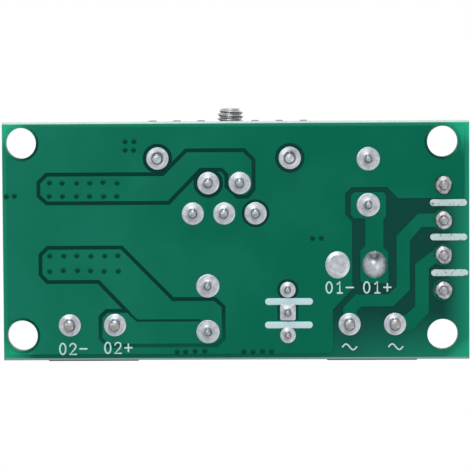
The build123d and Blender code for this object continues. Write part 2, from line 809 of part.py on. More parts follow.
with BuildPart() as heatsink_pins:
    with BuildSketch(Plane.XY.offset(-tail_length)) as pin_rounds:
        with Locations(*heatsink_pins_xy):
            RegularPolygon(heatsink_pin_radius, small_round_sides)
    extrude(amount=tail_length + heatsink_bottom + heatsink_pin_depth)
save(heatsink_pins, "heatsink_pins")

solder_heatsink = solder_joints(
    [(x, y, copper_relief) for x, y in heatsink_pins_xy], joint_radius,
    heatsink_pin_radius, round_section(heatsink_pin_radius),
)
save(solder_heatsink, "solder_heatsink")

with BuildPart() as heatsink_screw:
    with BuildSketch(upright_plane(screw_x, screw_head_y, tab_hole_z)) as shank:
        RegularPolygon(screw_radius, screw_sides)
    extrude(amount=-screw_length)
    with BuildSketch(upright_plane(screw_x, screw_head_y, tab_hole_z)) as head:
        RegularPolygon(screw_head_radius, screw_sides)
    extrude(amount=screw_head_height - screw_head_bevel)
    rim_y = screw_head_y - screw_head_height + screw_head_bevel
    with BuildSketch(upright_plane(screw_x, rim_y, tab_hole_z)) as rim:
        RegularPolygon(screw_head_radius, screw_sides)
    extrude(amount=screw_head_bevel, taper=45)
    with BuildSketch(upright_plane(screw_x, screw_head_y - screw_head_height, tab_hole_z)) as cross:
        Rectangle(screw_cross_width, screw_cross_length)
        Rectangle(screw_cross_length, screw_cross_width)
    extrude(amount=-screw_cross_depth, mode=Mode.SUBTRACT)
save(heatsink_screw, "heatsink_screw")

with BuildPart() as spring_washer:
    with BuildSketch(upright_plane(screw_x, screw_head_y + spring_washer_thickness, tab_hole_z)) as ring:
        RegularPolygon(spring_washer_radius, screw_sides)
        RegularPolygon(washer_hole_radius, screw_sides, mode=Mode.SUBTRACT)
        with Locations((0, spring_washer_radius)):
            Rectangle(spring_washer_gap, 2 * spring_washer_radius, mode=Mode.SUBTRACT)
    extrude(amount=spring_washer_thickness)
save(spring_washer, "heatsink_spring_washer")

with BuildPart() as flat_washer:
    with BuildSketch(upright_plane(screw_x, tab_front_y, tab_hole_z)) as ring:
        RegularPolygon(flat_washer_radius, screw_sides)
        RegularPolygon(washer_hole_radius, screw_sides, mode=Mode.SUBTRACT)
    extrude(amount=flat_washer_thickness)
save(flat_washer, "heatsink_flat_washer")

# Bridge rectifier
with BuildPart() as bridge_body:
    with BuildSketch(side_plane(bridge_x)) as face:
        with Locations((bridge_y, bridge_bottom + bridge_body_height / 2)):
            Rectangle(bridge_length, bridge_body_height)
        plus_corner = face.vertices().group_by(Axis.Z)[-1].sort_by(Axis.Y)[0]
        chamfer(plus_corner, bridge_corner)
    extrude(amount=bridge_thickness / 2, both=True)
    chamfer(bridge_body.faces().sort_by(Axis.X)[0].edges(), bridge_draft)
    chamfer(bridge_body.faces().sort_by(Axis.X)[-1].edges(), bridge_draft)
    with BuildSketch(Plane.XY.offset(bridge_bottom)) as sockets:
        with Locations(*bridge_pins):
            Rectangle(bridge_lead_thickness, bridge_shoulder_width)
    extrude(amount=bridge_lead_entry, mode=Mode.SUBTRACT)
save(bridge_body, "bridge_body")

with BuildPart() as bridge_leads:
    shoulder_bottom = bridge_bottom - bridge_shoulder_height
    with BuildSketch(Plane.XY.offset(shoulder_bottom)) as shoulders:
        with Locations(*bridge_pins):
            Rectangle(bridge_lead_thickness, bridge_shoulder_width)
    extrude(amount=bridge_shoulder_height + bridge_lead_entry)
    with BuildSketch(Plane.XY.offset(-tail_length)) as tails:
        with Locations(*bridge_pins):
            Rectangle(bridge_lead_thickness, bridge_lead_width)
    extrude(amount=shoulder_bottom + tail_length)
save(bridge_leads, "bridge_leads")

solder_bridge = solder_joints(
    [(x, y, 0) for x, y in bridge_pins], joint_radius_bridge,
    bridge_lead_width / 2, rectangle_section(bridge_lead_thickness, bridge_lead_width),
)
save(solder_bridge, "solder_bridge")


# Radial capacitors
def make_capacitor_can(x, y, height):
    # Sealed can in its shrunk sleeve, whose lip leaves the scored top bare
    top = capacitor_bottom + height
    groove_z = capacitor_bottom + can_groove_height
    with BuildPart() as can:
        for start, end, waist in ((capacitor_bottom, groove_z, -1), (groove_z, top, 0)):
            with BuildPart() as barrel:
                with BuildSketch(Plane.XY.offset(start)):
                    with Locations((x, y)):
                        RegularPolygon(capacitor_radius, can_sides)
                extrude(amount=end - start)
                chamfer(barrel.edges().group_by(Axis.Z)[waist], can_groove_depth)
        with BuildSketch(Plane.XY.offset(top)) as bare_top:
            with Locations((x, y)):
                RegularPolygon(capacitor_radius - sleeve_lip, can_sides)
        extrude(amount=-sleeve_thickness, mode=Mode.SUBTRACT)
        with BuildSketch(Plane.XY.offset(capacitor_bottom)) as mouth:
            with Locations((x, y)):
                RegularPolygon(bung_radius, screw_sides)
        extrude(amount=bung_recess + bung_height, mode=Mode.SUBTRACT)
        with BuildSketch(Plane.XY.offset(top - sleeve_thickness)) as vent:
            with Locations((x, y)):
                Rectangle(vent_length, vent_width)
                Rectangle(vent_width, vent_length)
        extrude(amount=-vent_depth, mode=Mode.SUBTRACT)
    return can


def make_capacitor_bung(x, y):
    with BuildPart() as bung:
        with BuildSketch(Plane.XY.offset(capacitor_bottom + bung_recess)) as disc:
            with Locations((x, y)):
                RegularPolygon(bung_radius, screw_sides)
        extrude(amount=bung_height)
    return bung


def make_capacitor_leads(pins):
    with BuildPart() as leads:
        with BuildSketch(Plane.XY.offset(-tail_length)) as rounds:
            with Locations(*pins):
                RegularPolygon(capacitor_lead_radius, small_round_sides)
        extrude(amount=tail_length + capacitor_bottom + bung_recess)
    return leads


capacitors = (
    ("input", input_capacitor_x, input_capacitor_y, input_capacitor_height, input_capacitor_pins),
    ("output", output_capacitor_x, output_capacitor_y, output_capacitor_height, output_capacitor_pins),
)
for side, x, y, height, pins in capacitors:
    save(make_capacitor_can(x, y, height), f"{side}_capacitor_can")
    save(make_capacitor_bung(x, y), f"{side}_capacitor_bung")
    save(make_capacitor_leads(pins), f"{side}_capacitor_leads")
    capacitor_solder = solder_joints(
        [(pin_x, pin_y, 0) for pin_x, pin_y in pins], joint_radius_capacitor,
        capacitor_lead_radius, round_section(capacitor_lead_radius),
    )
    save(capacitor_solder, f"solder_{side}_capacitor")

# Power inductor
inductor_top = board_top + inductor_height
with BuildPart() as inductor_base:
    with BuildSketch(Plane.XY.offset(inductor_bottom)) as outline:
        with Locations((inductor_x, inductor_y)):
            Rectangle(inductor_side, inductor_side)
        chamfer(outline.vertices(), inductor_corner)
    extrude(amount=inductor_base_height)
save(inductor_base, "inductor_base")

with BuildPart() as inductor_shield:
    with BuildSketch(Plane.XY.offset(inductor_core_bottom)) as ring:
        with Locations((inductor_x, inductor_y)):
            Rectangle(inductor_side, inductor_side)
        chamfer(ring.vertices(), inductor_corner)
        with Locations((inductor_x, inductor_y)):
            Circle(inductor_bore_radius, mode=Mode.SUBTRACT)
    extrude(amount=inductor_top - inductor_core_bottom)
    chamfer(inductor_shield.faces().sort_by(Axis.Z)[-1].outer_wire().edges(), inductor_rim_bevel)
save(inductor_shield, "inductor_shield")

# Drum core, whose top flange is the only one in view
with BuildPart() as inductor_core:
    lower_flange_top = inductor_core_bottom + inductor_flange_height
    upper_flange_bottom = inductor_top - inductor_flange_height
    with BuildSketch(Plane.XY.offset(inductor_core_bottom)) as lower_flange:
        with Locations((inductor_x, inductor_y)):
            RegularPolygon(inductor_flange_radius, screw_sides)
    extrude(amount=inductor_flange_height)
    with BuildSketch(Plane.XY.offset(lower_flange_top)) as post:
        with Locations((inductor_x, inductor_y)):
            RegularPolygon(inductor_post_radius, screw_sides)
    extrude(amount=upper_flange_bottom - lower_flange_top)
    with BuildSketch(Plane.XY.offset(upper_flange_bottom)) as upper_flange:
        with Locations((inductor_x, inductor_y)):
            Circle(inductor_flange_radius)
    extrude(amount=inductor_flange_height)
save(inductor_core, "inductor_core")

with BuildPart() as inductor_winding:
    with BuildSketch(Plane.XY.offset(lower_flange_top + inductor_winding_gap)) as coil:
        with Locations((inductor_x, inductor_y)):
            RegularPolygon(inductor_winding_radius, screw_sides)
            RegularPolygon(inductor_post_radius + 2 * inductor_winding_gap, screw_sides, mode=Mode.SUBTRACT)
    extrude(amount=upper_flange_bottom - lower_flange_top - 2 * inductor_winding_gap)
save(inductor_winding, "inductor_winding")

with BuildPart() as inductor_terminals:
    for side in (-1, 1):
        edge_x = inductor_x + side * inductor_side / 2
        lug_x = edge_x + side * inductor_terminal_thickness / 2
        inner_x = edge_x - side * inductor_terminal_length
        outer_x = edge_x + side * inductor_terminal_thickness
        with BuildSketch(Plane.XY.offset(board_top)) as foot:
            with Locations(((inner_x + outer_x) / 2, inductor_y)):
                Rectangle(abs(outer_x - inner_x), inductor_terminal_width)
        extrude(amount=inductor_terminal_thickness)
        with BuildSketch(Plane.XY.offset(board_top)) as lug:
            with Locations((lug_x, inductor_y)):
                Rectangle(inductor_terminal_thickness, inductor_terminal_width)
        extrude(amount=inductor_terminal_lug)
save(inductor_terminals, "inductor_terminals")

# Catch diode
diode_bottom = board_top + diode_standoff
diode_middle = board_top + diode_lead_height
with BuildPart() as diode_body:
    with BuildSketch(Plane.XY.offset(diode_middle)) as waist:
        with Locations((diode_x, diode_y)):
            Rectangle(diode_length, diode_width)
    extrude(amount=board_top + diode_height + diode_standoff - diode_middle, taper=diode_taper)
    extrude(waist.sketch, amount=diode_bottom - diode_middle, taper=diode_taper)
save(diode_body, "diode_body")

with BuildPart() as diode_leads:
    for side in (-1, 1):
        edge_x = diode_x + side * diode_length / 2
        outer_x = edge_x + side * diode_lead_reach
        inner_x = edge_x - side * diode_lead_reach
        with BuildSketch(Plane(origin=(0, diode_y, 0), x_dir=(1, 0, 0), z_dir=(0, -1, 0))) as strip:
            with BuildLine():
                Polyline(
                    (inner_x, board_top),
                    (outer_x, board_top),
                    (outer_x, diode_middle + diode_lead_thickness / 2),
                    (edge_x, diode_middle + diode_lead_thickness / 2),
                    (edge_x, diode_middle - diode_lead_thickness / 2),
                    (outer_x - side * diode_lead_thickness, diode_middle - diode_lead_thickness / 2),
                    (outer_x - side * diode_lead_thickness, board_top + diode_standoff),
                    (inner_x, board_top + diode_standoff),
                    close=True,
                )
            make_face()
        extrude(amount=diode_lead_width / 2, both=True)
save(diode_leads, "diode_leads")

# Trimmer
with BuildPart() as trimmer_case:
    with BuildSketch(Plane.XY.offset(trimmer_bottom)) as case_outline:
        with Locations((trimmer_x, trimmer_y)):
            Rectangle(trimmer_width, trimmer_length)
    extrude(amount=trimmer_top - trimmer_bottom)
    chamfer(trimmer_case.edges().filter_by(Axis.Z), trimmer_edge)
    with BuildSketch(Plane.XY.offset(board_top)) as feet:
        foot_x = (trimmer_width - trimmer_foot) / 2
        foot_y = (trimmer_length - trimmer_foot) / 2
        with Locations((trimmer_x, trimmer_y)):
            with GridLocations(2 * foot_x - trimmer_edge, 2 * foot_y - trimmer_edge, 2, 2):
                Rectangle(trimmer_foot, trimmer_foot)
    extrude(amount=trimmer_standoff)
    with BuildSketch(Plane.XY.offset(trimmer_top)) as head_pocket:
        with Locations((trimmer_x, trimmer_screw_y)):
            RegularPolygon(trimmer_screw_radius + trimmer_screw_clearance, screw_sides)
    extrude(amount=-trimmer_screw_depth, mode=Mode.SUBTRACT)
    with BuildSketch(Plane.XY.offset(trimmer_top - trimmer_screw_depth)) as shaft_bore:
        with Locations((trimmer_x, trimmer_screw_y)):
            RegularPolygon(trimmer_shaft_radius + trimmer_screw_clearance, small_round_sides)
    extrude(amount=-trimmer_shaft_depth, mode=Mode.SUBTRACT)
save(trimmer_case, "trimmer_case")

with BuildPart() as trimmer_pins:
    with BuildSketch(Plane.XY.offset(-tail_length)) as pin_rounds:
        with Locations(*trimmer_pins_xy):
            RegularPolygon(trimmer_pin_radius, small_round_sides)
    extrude(amount=tail_length + trimmer_bottom)
save(trimmer_pins, "trimmer_pins")

with BuildPart() as trimmer_screw:
    seat_z = trimmer_top - trimmer_screw_depth + trimmer_screw_clearance
    with BuildSketch(Plane.XY.offset(seat_z)) as head:
        with Locations((trimmer_x, trimmer_screw_y)):
            RegularPolygon(trimmer_screw_radius, screw_sides)
    extrude(amount=trimmer_top + trimmer_screw_proud - seat_z)
    with BuildSketch(Plane.XY.offset(seat_z)) as shaft:
        with Locations((trimmer_x, trimmer_screw_y)):
            RegularPolygon(trimmer_shaft_radius, small_round_sides)
    extrude(amount=-trimmer_shaft_depth + trimmer_screw_clearance)
    with BuildSketch(Plane.XY.offset(trimmer_top + trimmer_screw_proud)) as slot:
        with Locations((trimmer_x, trimmer_screw_y)):
            Rectangle(2 * trimmer_screw_radius + cut_overrun, trimmer_slot_width)
    extrude(amount=-trimmer_slot_depth, mode=Mode.SUBTRACT)
save(trimmer_screw, "trimmer_screw")

trimmer_joint_places = [
    (*trimmer_pins_xy[0], 0), (*trimmer_pins_xy[1], copper_relief), (*trimmer_pins_xy[2], copper_relief)
]
solder_trimmer = solder_joints(
    trimmer_joint_places, joint_radius_small, trimmer_pin_radius, round_section(trimmer_pin_radius)
)
save(solder_trimmer, "solder_trimmer")

# Bare wire pads: one tinned flat, one with a dome of solder
with BuildPart() as solder_wire_pads:
    pad_radius = wire_pad_width / 2
    with BuildSketch(Plane.XY.offset(-wire_pad_thickness)) as pads:
        with Locations(wire_pad_flat, wire_pad_domed):
            RegularPolygon(pad_radius, screw_sides)
            Rectangle(wire_pad_width * wire_pad_flat_share, wire_pad_length)
    extrude(amount=wire_pad_thickness)
    with BuildSketch(Plane.XY.offset(-wire_pad_thickness)) as dome:
        with Locations(wire_pad_domed):
            RegularPolygon(pad_radius - wire_pad_dome_inset, screw_sides)
    extrude(amount=-wire_pad_dome)
    chamfer(solder_wire_pads.edges().group_by(Axis.Z)[0], wire_pad_dome_bevel)
save(solder_wire_pads, "solder_wire_pads")


# Chip parts
def make_chips(places, height):
    with BuildPart() as chips:
        with BuildSketch(Plane.XY.offset(board_top + chip_cap_wall)) as outlines:
            with Locations(*places):
                Rectangle(chip_length - 2 * chip_cap_wall, chip_width)
        extrude(amount=height)
    return chips


def make_chip_caps(places, height):
    # Metal end caps that wrap each end of a chip
    with BuildPart() as caps:
        for x, y in places:
            for side in (-1, 1):
                with BuildSketch(upright_plane(x, y + chip_width / 2, board_top)) as wrap:
                    outer = side * chip_length / 2
                    with Locations((outer - side * chip_cap_length / 2, height / 2 + chip_cap_wall)):
                        Rectangle(chip_cap_length, height + 2 * chip_cap_wall)
                    with Locations((0, height / 2 + chip_cap_wall)):
                        Rectangle(chip_length - 2 * chip_cap_wall, height, mode=Mode.SUBTRACT)
                extrude(amount=chip_width)
    return caps


save(make_chips(chip_resistor_places, chip_resistor_height), "chip_resistors")
save(make_chip_caps(chip_resistor_places, chip_resistor_height), "chip_resistor_caps")
save(make_chips(chip_capacitor_places, chip_capacitor_height), "chip_capacitors")
save(make_chip_caps(chip_capacitor_places, chip_capacitor_height), "chip_capacitor_caps")

with BuildPart() as light:
    with BuildSketch(Plane.XY.offset(board_top)) as base:
        with Locations(light_place):
            Rectangle(chip_length, chip_width)
    extrude(amount=light_base_height)
save(light, "light_base")

with BuildPart() as light_lens:
    with BuildSketch(Plane.XY.offset(board_top + light_base_height)) as lens:
        with Locations(light_place):
            Rectangle(light_lens_length, chip_width)
    extrude(amount=light_lens_height - light_base_height, taper=6)
save(light_lens, "light_lens")
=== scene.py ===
import json
import math
from functools import partial

import bmesh
import bpy
from mathutils import Matrix, Vector


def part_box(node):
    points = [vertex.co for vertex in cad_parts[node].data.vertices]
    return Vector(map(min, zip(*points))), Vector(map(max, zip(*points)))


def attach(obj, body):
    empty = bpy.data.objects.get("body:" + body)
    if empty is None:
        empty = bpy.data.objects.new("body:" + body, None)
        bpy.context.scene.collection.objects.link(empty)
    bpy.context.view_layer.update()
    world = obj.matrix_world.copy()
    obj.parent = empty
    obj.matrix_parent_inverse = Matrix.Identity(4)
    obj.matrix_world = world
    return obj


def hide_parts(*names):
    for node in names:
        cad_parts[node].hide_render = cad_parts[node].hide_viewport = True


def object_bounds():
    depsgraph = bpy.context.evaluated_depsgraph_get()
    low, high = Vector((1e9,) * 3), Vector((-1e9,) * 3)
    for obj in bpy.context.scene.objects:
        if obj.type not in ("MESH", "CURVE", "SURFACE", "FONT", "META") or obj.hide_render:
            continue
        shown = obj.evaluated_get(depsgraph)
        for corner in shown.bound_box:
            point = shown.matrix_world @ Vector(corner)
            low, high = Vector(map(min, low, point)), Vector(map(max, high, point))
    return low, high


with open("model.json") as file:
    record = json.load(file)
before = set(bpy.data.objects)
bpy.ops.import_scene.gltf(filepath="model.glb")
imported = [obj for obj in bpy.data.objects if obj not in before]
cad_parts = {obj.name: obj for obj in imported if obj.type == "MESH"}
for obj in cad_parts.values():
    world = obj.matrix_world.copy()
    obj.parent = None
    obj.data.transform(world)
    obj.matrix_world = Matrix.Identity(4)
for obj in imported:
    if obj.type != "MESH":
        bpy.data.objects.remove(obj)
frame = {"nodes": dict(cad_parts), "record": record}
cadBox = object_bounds()
nodes = frame["nodes"]
slotOf = {part["node"]: part["material_slot"] for part in frame["record"]["subparts"]}
scene = bpy.context.scene
mm = 0.001
print("frame loaded:", len(nodes), "nodes")


def linear(hexColour):
    # sRGB hex to the linear values that the shaders mix
    parts = [int(hexColour[i:i + 2], 16) / 255 for i in (1, 3, 5)]
    return [p / 12.92 if p <= 0.04045 else ((p + 0.055) / 1.055) ** 2.4 for p in parts] + [1.0]


def feed(node, inputs):
    # inputs: socket to value, hex colour, socket or node, where a node stands for its first live output
    for socket, value in inputs.items():
        if isinstance(value, bpy.types.Node):
            value = next(output for output in value.outputs if output.enabled)
        if isinstance(value, bpy.types.NodeSocket):
            node.id_data.links.new(value, node.inputs[socket])
        else:
            isColour = isinstance(value, str) and value.startswith("#")
            node.inputs[socket].default_value = linear(value) if isColour else value


def addNode(tree, kind, inputs, **settings):
    node = tree.nodes.new(kind)
    for name, value in settings.items():
        setattr(node, name, value)
    feed(node, inputs)
    return node


def newFinish(name, shaderValues):
    finish = bpy.data.materials.new(name)
    finish.use_nodes = True
    shader = finish.node_tree.nodes["Principled BSDF"]
    feed(shader, shaderValues)
    return finish, partial(addNode, finish.node_tree), shader


def roughen(add, shader, place, size, detail, strength, depth):
    # Shallow relief for the light to play on, from noise of one size in mm. Returns that noise
    noise = add("ShaderNodeTexNoise", {"Vector": place, "Scale": 1 / (size * mm), "Detail": detail})
    bump = add("ShaderNodeBump", {"Height": noise, "Strength": strength, "Distance": depth * mm})
    feed(shader, {"Normal": bump})
    return noise


# Board finish, lengths in mm. Glow is how much painted light, standing for light through the laminate, shows
# towards its rim
boardLook = {
    # The paler copper tone is a painted sheen
    "maskedCopper": "#02654c", "maskedCopperSheen": "#13725a", "bare": "#0b433b", "bareDeep": "#013931",
    # The lit tone is a painted glow, and the shoulder tone is partly a painted highlight
    "lit": "#22ac85", "shoulderPaleAndSheen": "#6fae9e",
    # The third raw tone is painted shade for the lower cut edge
    "rawEdge": "#dcefe8", "rawFibre": "#b5cfc6", "rawEdgeShaded": "#86a09d", "slopeFrom": 0.012,
    "slopeTo": 0.058, "solderSide": 0.3, "endSkin": 0.02, "score": 0.22,
    "endReach": 3.0, "sideReach": 2.2, "lowerReach": 5.3, "cornerFrom": 1.0, "cornerReach": 5.0,
    "endGlow": 0.5, "sideGlow": 0.55, "acGlow": 0.62, "outputGlow": 0.3, "lowerCornerGlow": 0.72,
    "cloudSize": 9.0, "peelSize": 0.35, "peelDepth": 0.01, "fibreLength": 1.111, "plyHeight": 0.1429,
}


def solderMaskFinish():
    # Fibreglass under green solder mask: satin, dark over bare laminate, with a painted glow towards the rim
    # for light through the laminate
    look = boardLook
    low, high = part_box("board")
    centre, half = (low + high) / 2, (high - low) / 2
    finish, add, shader = newFinish("solderMaskOnLaminate", {"IOR": 1.52, "Specular IOR Level": 0.04})
    place = add("ShaderNodeTexCoord", {}).outputs["Object"]
    x, y, z = add("ShaderNodeSeparateXYZ", {0: place}).outputs
    # Bare laminate is 1 on the floor of a groove, 0 on copper and between them on the slope
    relief = add("ShaderNodeMapRange", {
        "Value": z, "From Min": look["slopeFrom"] * mm, "From Max": look["slopeTo"] * mm})
    solderFace = add("ShaderNodeMath", {0: z, 1: look["solderSide"] * mm}, operation="LESS_THAN")
    bare = add("ShaderNodeMath", {0: relief, 1: solderFace}, operation="MULTIPLY")
    inside = []
    for axis, way in enumerate((x, y)):
        offCentre = add("ShaderNodeMath", {0: way, 1: centre[axis]}, operation="SUBTRACT")
        away = add("ShaderNodeMath", {0: offCentre}, operation="ABSOLUTE")
        inside.append(add("ShaderNodeMath", {0: half[axis], 1: away}, operation="SUBTRACT"))
    fromEnd, fromSide = inside  # distance from the nearer end, and from the nearer long edge
    endFace = add("ShaderNodeMath", {0: fromEnd, 1: look["endSkin"] * mm}, operation="LESS_THAN")
    scored = add("ShaderNodeMath", {0: fromSide, 1: look["score"] * mm}, operation="LESS_THAN")
    raw = add("ShaderNodeMath", {0: endFace, 1: scored}, operation="MAXIMUM")
    # Painted glow for light through bare laminate: from the ends, from the long edges and at the corners
    nearEnd = add("ShaderNodeMapRange", {
        "Value": fromEnd, "From Max": look["endReach"] * mm, "To Min": look["endGlow"], "To Max": 0.0})
    upper = add("ShaderNodeMath", {0: y, 1: centre.y}, operation="GREATER_THAN")
    reach = add("ShaderNodeMapRange", {
        "Value": upper, "To Min": look["lowerReach"] * mm, "To Max": look["sideReach"] * mm})
    nearSide = add("ShaderNodeMapRange", {
        "Value": fromSide, "From Max": reach, "To Min": look["sideGlow"], "To Max": 0.0})
    along = add("ShaderNodeMapRange", {"Value": x, "From Min": low.x, "From Max": high.x})  # 0 at the AC end
    lowerShare = add("ShaderNodeMapRange", {
        "Value": along, "From Min": 0.1, "From Max": 0.33,
        "To Min": look["acGlow"], "To Max": look["outputGlow"]})
    sideShare = add("ShaderNodeMath", {0: upper, 1: lowerShare}, operation="MAXIMUM")
    sideLit = add("ShaderNodeMath", {0: nearSide, 1: sideShare}, operation="MULTIPLY")
    nearRim = add("ShaderNodeMath", {0: nearEnd, 1: sideLit}, operation="MAXIMUM")
    bareLit = add("ShaderNodeMath", {0: nearRim, 1: bare}, operation="MULTIPLY")
    both = add("ShaderNodeMath", {0: fromEnd, 1: fromSide}, operation="ADD")
    corner = add("ShaderNodeMapRange", {
        "Value": both, "From Min": look["cornerFrom"] * mm, "From Max": look["cornerReach"] * mm,
        "To Min": 1.0, "To Max": 0.0}, interpolation_type="SMOOTHSTEP")
    cornerShare = add("ShaderNodeMapRange", {
        "Value": y, "From Min": low.y, "From Max": high.y, "To Min": look["lowerCornerGlow"], "To Max": 1.0})
    cornerLit = add("ShaderNodeMath", {0: corner, 1: cornerShare}, operation="MULTIPLY")
    lit = add("ShaderNodeMath", {0: bareLit, 1: cornerLit}, operation="MAXIMUM")
    # Mask over copper is paler and cloudy towards the output end, a painted sheen for a hazy reflection, and
    # over laminate it is deeper there
    cloud = add("ShaderNodeTexNoise", {"Vector": place, "Scale": 1 / (look["cloudSize"] * mm), "Detail": 3.0})
    cloudStep = add("ShaderNodeMapRange", {
        "Value": cloud, "From Min": 0.42, "From Max": 0.62, "To Min": -0.2, "To Max": 0.2})
    outputEnd = add("ShaderNodeMapRange", {
        "Value": along, "From Min": 0.35, "From Max": 0.95, "To Min": 0.1, "To Max": 0.9})
    sheenShare = add("ShaderNodeMath", {0: outputEnd, 1: cloudStep}, operation="ADD")
    copper = add("ShaderNodeMix", {
        "Factor": sheenShare, "A": look["maskedCopper"], "B": look["maskedCopperSheen"]}, data_type="RGBA")
    deepShare = add("ShaderNodeMapRange", {"Value": along, "From Min": 0.25, "From Max": 0.55})
    laminate = add("ShaderNodeMix", {
        "Factor": deepShare, "A": look["bare"], "B": look["bareDeep"]}, data_type="RGBA")
    masked = add("ShaderNodeMix", {"Factor": bare, "A": copper, "B": laminate}, data_type="RGBA")
    # The thin mask on the copper's shoulders is paler, partly copper showing through and partly a painted
    # highlight, most at the AC end
    slope = add("ShaderNodeMath", {0: bare, 1: 0.5}, operation="SUBTRACT")
    slopeSize = add("ShaderNodeMath", {0: slope}, operation="ABSOLUTE")
    shoulderPaleAndSheen = add("ShaderNodeMapRange", {
        "Value": slopeSize, "From Min": 0.5, "From Max": 0.2, "To Max": 0.5})
    shoulderShare = add("ShaderNodeMapRange", {"Value": deepShare, "To Min": 1.0, "To Max": 0.5})
    shoulderTintAndHighlight = add("ShaderNodeMath", {0: shoulderPaleAndSheen, 1: shoulderShare}, operation="MULTIPLY")
    edged = add("ShaderNodeMix", {
        "Factor": shoulderTintAndHighlight, "A": masked, "B": look["shoulderPaleAndSheen"]}, data_type="RGBA")
    withPaintedGlow = add("ShaderNodeMix", {"Factor": lit, "A": edged, "B": look["lit"]}, data_type="RGBA")
    # Raw fibreglass where the board was cut: pale plies, with painted shade along the lower score
    plies = add("ShaderNodeMapping", {"Vector": place, "Scale": [
        1 / (look[key] * mm) for key in ("fibreLength", "fibreLength", "plyHeight")]})
    fibreNoise = add("ShaderNodeTexNoise", {"Vector": plies, "Scale": 1.0, "Detail": 4.0})
    edgeColour = add("ShaderNodeMix", {
        "Factor": fibreNoise, "A": look["rawEdge"], "B": look["rawFibre"]}, data_type="RGBA")
    lowerEdgeShade = add("ShaderNodeMath", {0: y, 1: low.y + look["score"] * mm}, operation="LESS_THAN")
    rawColour = add("ShaderNodeMix", {
        "Factor": lowerEdgeShade, "A": edgeColour, "B": look["rawEdgeShaded"]}, data_type="RGBA")
    colour = add("ShaderNodeMix", {"Factor": raw, "A": withPaintedGlow, "B": rawColour}, data_type="RGBA")
    roughness = add("ShaderNodeMapRange", {"Value": raw, "To Min": 0.34, "To Max": 0.8})
    feed(shader, {"Base Color": colour, "Roughness": roughness})
    roughen(add, shader, place, look["peelSize"], 2.0, 0.12, look["peelDepth"])
    return finish


# Metal finishes, lengths in mm
solderLook = {"frostSize": 0.45, "grainSize": 0.12, "grainDepth": 0.02}
scratchLook = {"shortening": 0.15, "depth": 0.01}  # a scratch runs up the piece, 1 / 0.15 times its width
anodisedLook = {
    "pale": "#17181b", "dark": "#2c2e33", "lineWidth": 0.1111, "lineLength": 8.333, "depth": 0.015}


def tinSolderFinish(name, pale, dark, shadePainted, roughness):
    # Reflowed tin solder: pale and satin, frosted in patches, with painted shade and dark reflection round
    # the leads
    look = solderLook
    finish, add, shader = newFinish(name, {"Metallic": 1.0})
    place = add("ShaderNodeTexCoord", {}).outputs["Object"]
    frost = add("ShaderNodeTexNoise", {"Vector": place, "Scale": 1 / (look["frostSize"] * mm), "Detail": 4.0})
    frostStep = add("ShaderNodeMapRange", {"Value": frost, "From Min": 0.3, "From Max": 0.7})
    colour = add("ShaderNodeMix", {"Factor": frostStep, "A": dark, "B": pale}, data_type="RGBA")
    shadeAmount = add("ShaderNodeAttribute", {}, attribute_name="stain").outputs["Fac"]
    shadeMixed = add("ShaderNodeMix", {"Factor": shadeAmount, "A": colour, "B": shadePainted}, data_type="RGBA")
    rough = add("ShaderNodeMapRange", {
        "Value": frostStep, "To Min": roughness * 0.7, "To Max": roughness * 1.2})
    feed(shader, {"Base Color": shadeMixed, "Roughness": rough})
    roughen(add, shader, place, look["grainSize"], 2.0, 0.25, look["grainDepth"])
    return finish


def platedFinish(name, pale, dark, roughness, scratchSize):
    # Plated metal: even colour with fine drawn scratches that catch the light
    finish, add, shader = newFinish(name, {"Metallic": 1.0})
    place = add("ShaderNodeTexCoord", {}).outputs["Object"]
    drawn = add("ShaderNodeMapping", {"Vector": place, "Scale": (1.0, 1.0, scratchLook["shortening"])})
    scratch = roughen(add, shader, drawn, scratchSize, 5.0, 0.15, scratchLook["depth"])
    colour = add("ShaderNodeMix", {"Factor": scratch, "A": pale, "B": dark}, data_type="RGBA")
    rough = add("ShaderNodeMapRange", {
        "Value": scratch, "From Min": 0.3, "From Max": 0.7,
        "To Min": roughness * 0.75, "To Max": roughness * 1.3})
    feed(shader, {"Base Color": colour, "Roughness": rough})
    return finish


def anodisedFinish():
    # Black anodised extrusion: satin black with faint draw lines up the profile
    look = anodisedLook
    finish, add, shader = newFinish("blackAnodisedAluminium", {"Metallic": 0.6, "Roughness": 0.42})
    place = add("ShaderNodeTexCoord", {}).outputs["Object"]
    lines = add("ShaderNodeMapping", {"Vector": place, "Scale": [
        1 / (look[key] * mm) for key in ("lineWidth", "lineWidth", "lineLength")]})
    draw = add("ShaderNodeTexNoise", {"Vector": lines, "Scale": 1.0, "Detail": 3.0})
    colour = add("ShaderNodeMix", {"Factor": draw, "A": look["pale"], "B": look["dark"]}, data_type="RGBA")
    bump = add("ShaderNodeBump", {"Height": draw, "Strength": 0.2, "Distance": look["depth"] * mm})
    feed(shader, {"Base Color": colour, "Normal": bump})
    return finish


# Plastic, resin and ceramic finishes, lengths in mm
toneSize = 2.5  # width of the soft clouds of tone on any moulded body
scorchLook = {"ink": "#bdd3d3", "pit": "#68807b", "pitSize": 0.4, "pitDepth": 0.02}
sleeveLook = {"film": "#15161c", "band": "#a9aeb4", "bandHalf": 1.3, "rippleSize": 1.6, "rippleDepth": 0.05}


def mouldedFinish(name, pale, dark, roughness, grainSize, grainDepth, shaderValues=None):
    # Moulded or pressed body: fine grain left by the mould, with a slight change of tone
    finish, add, shader = newFinish(name, shaderValues or {})
    place = add("ShaderNodeTexCoord", {}).outputs["Object"]
    tone = add("ShaderNodeTexNoise", {"Vector": place, "Scale": 1 / (toneSize * mm), "Detail": 3.0})
    colour = add("ShaderNodeMix", {"Factor": tone, "A": pale, "B": dark}, data_type="RGBA")
    rough = add("ShaderNodeMapRange", {
        "Value": tone, "From Min": 0.3, "From Max": 0.7,
        "To Min": roughness * 0.85, "To Max": roughness * 1.15})
    feed(shader, {"Base Color": colour, "Roughness": rough})
    roughen(add, shader, place, grainSize, 2.0, 0.35, grainDepth)
    return finish


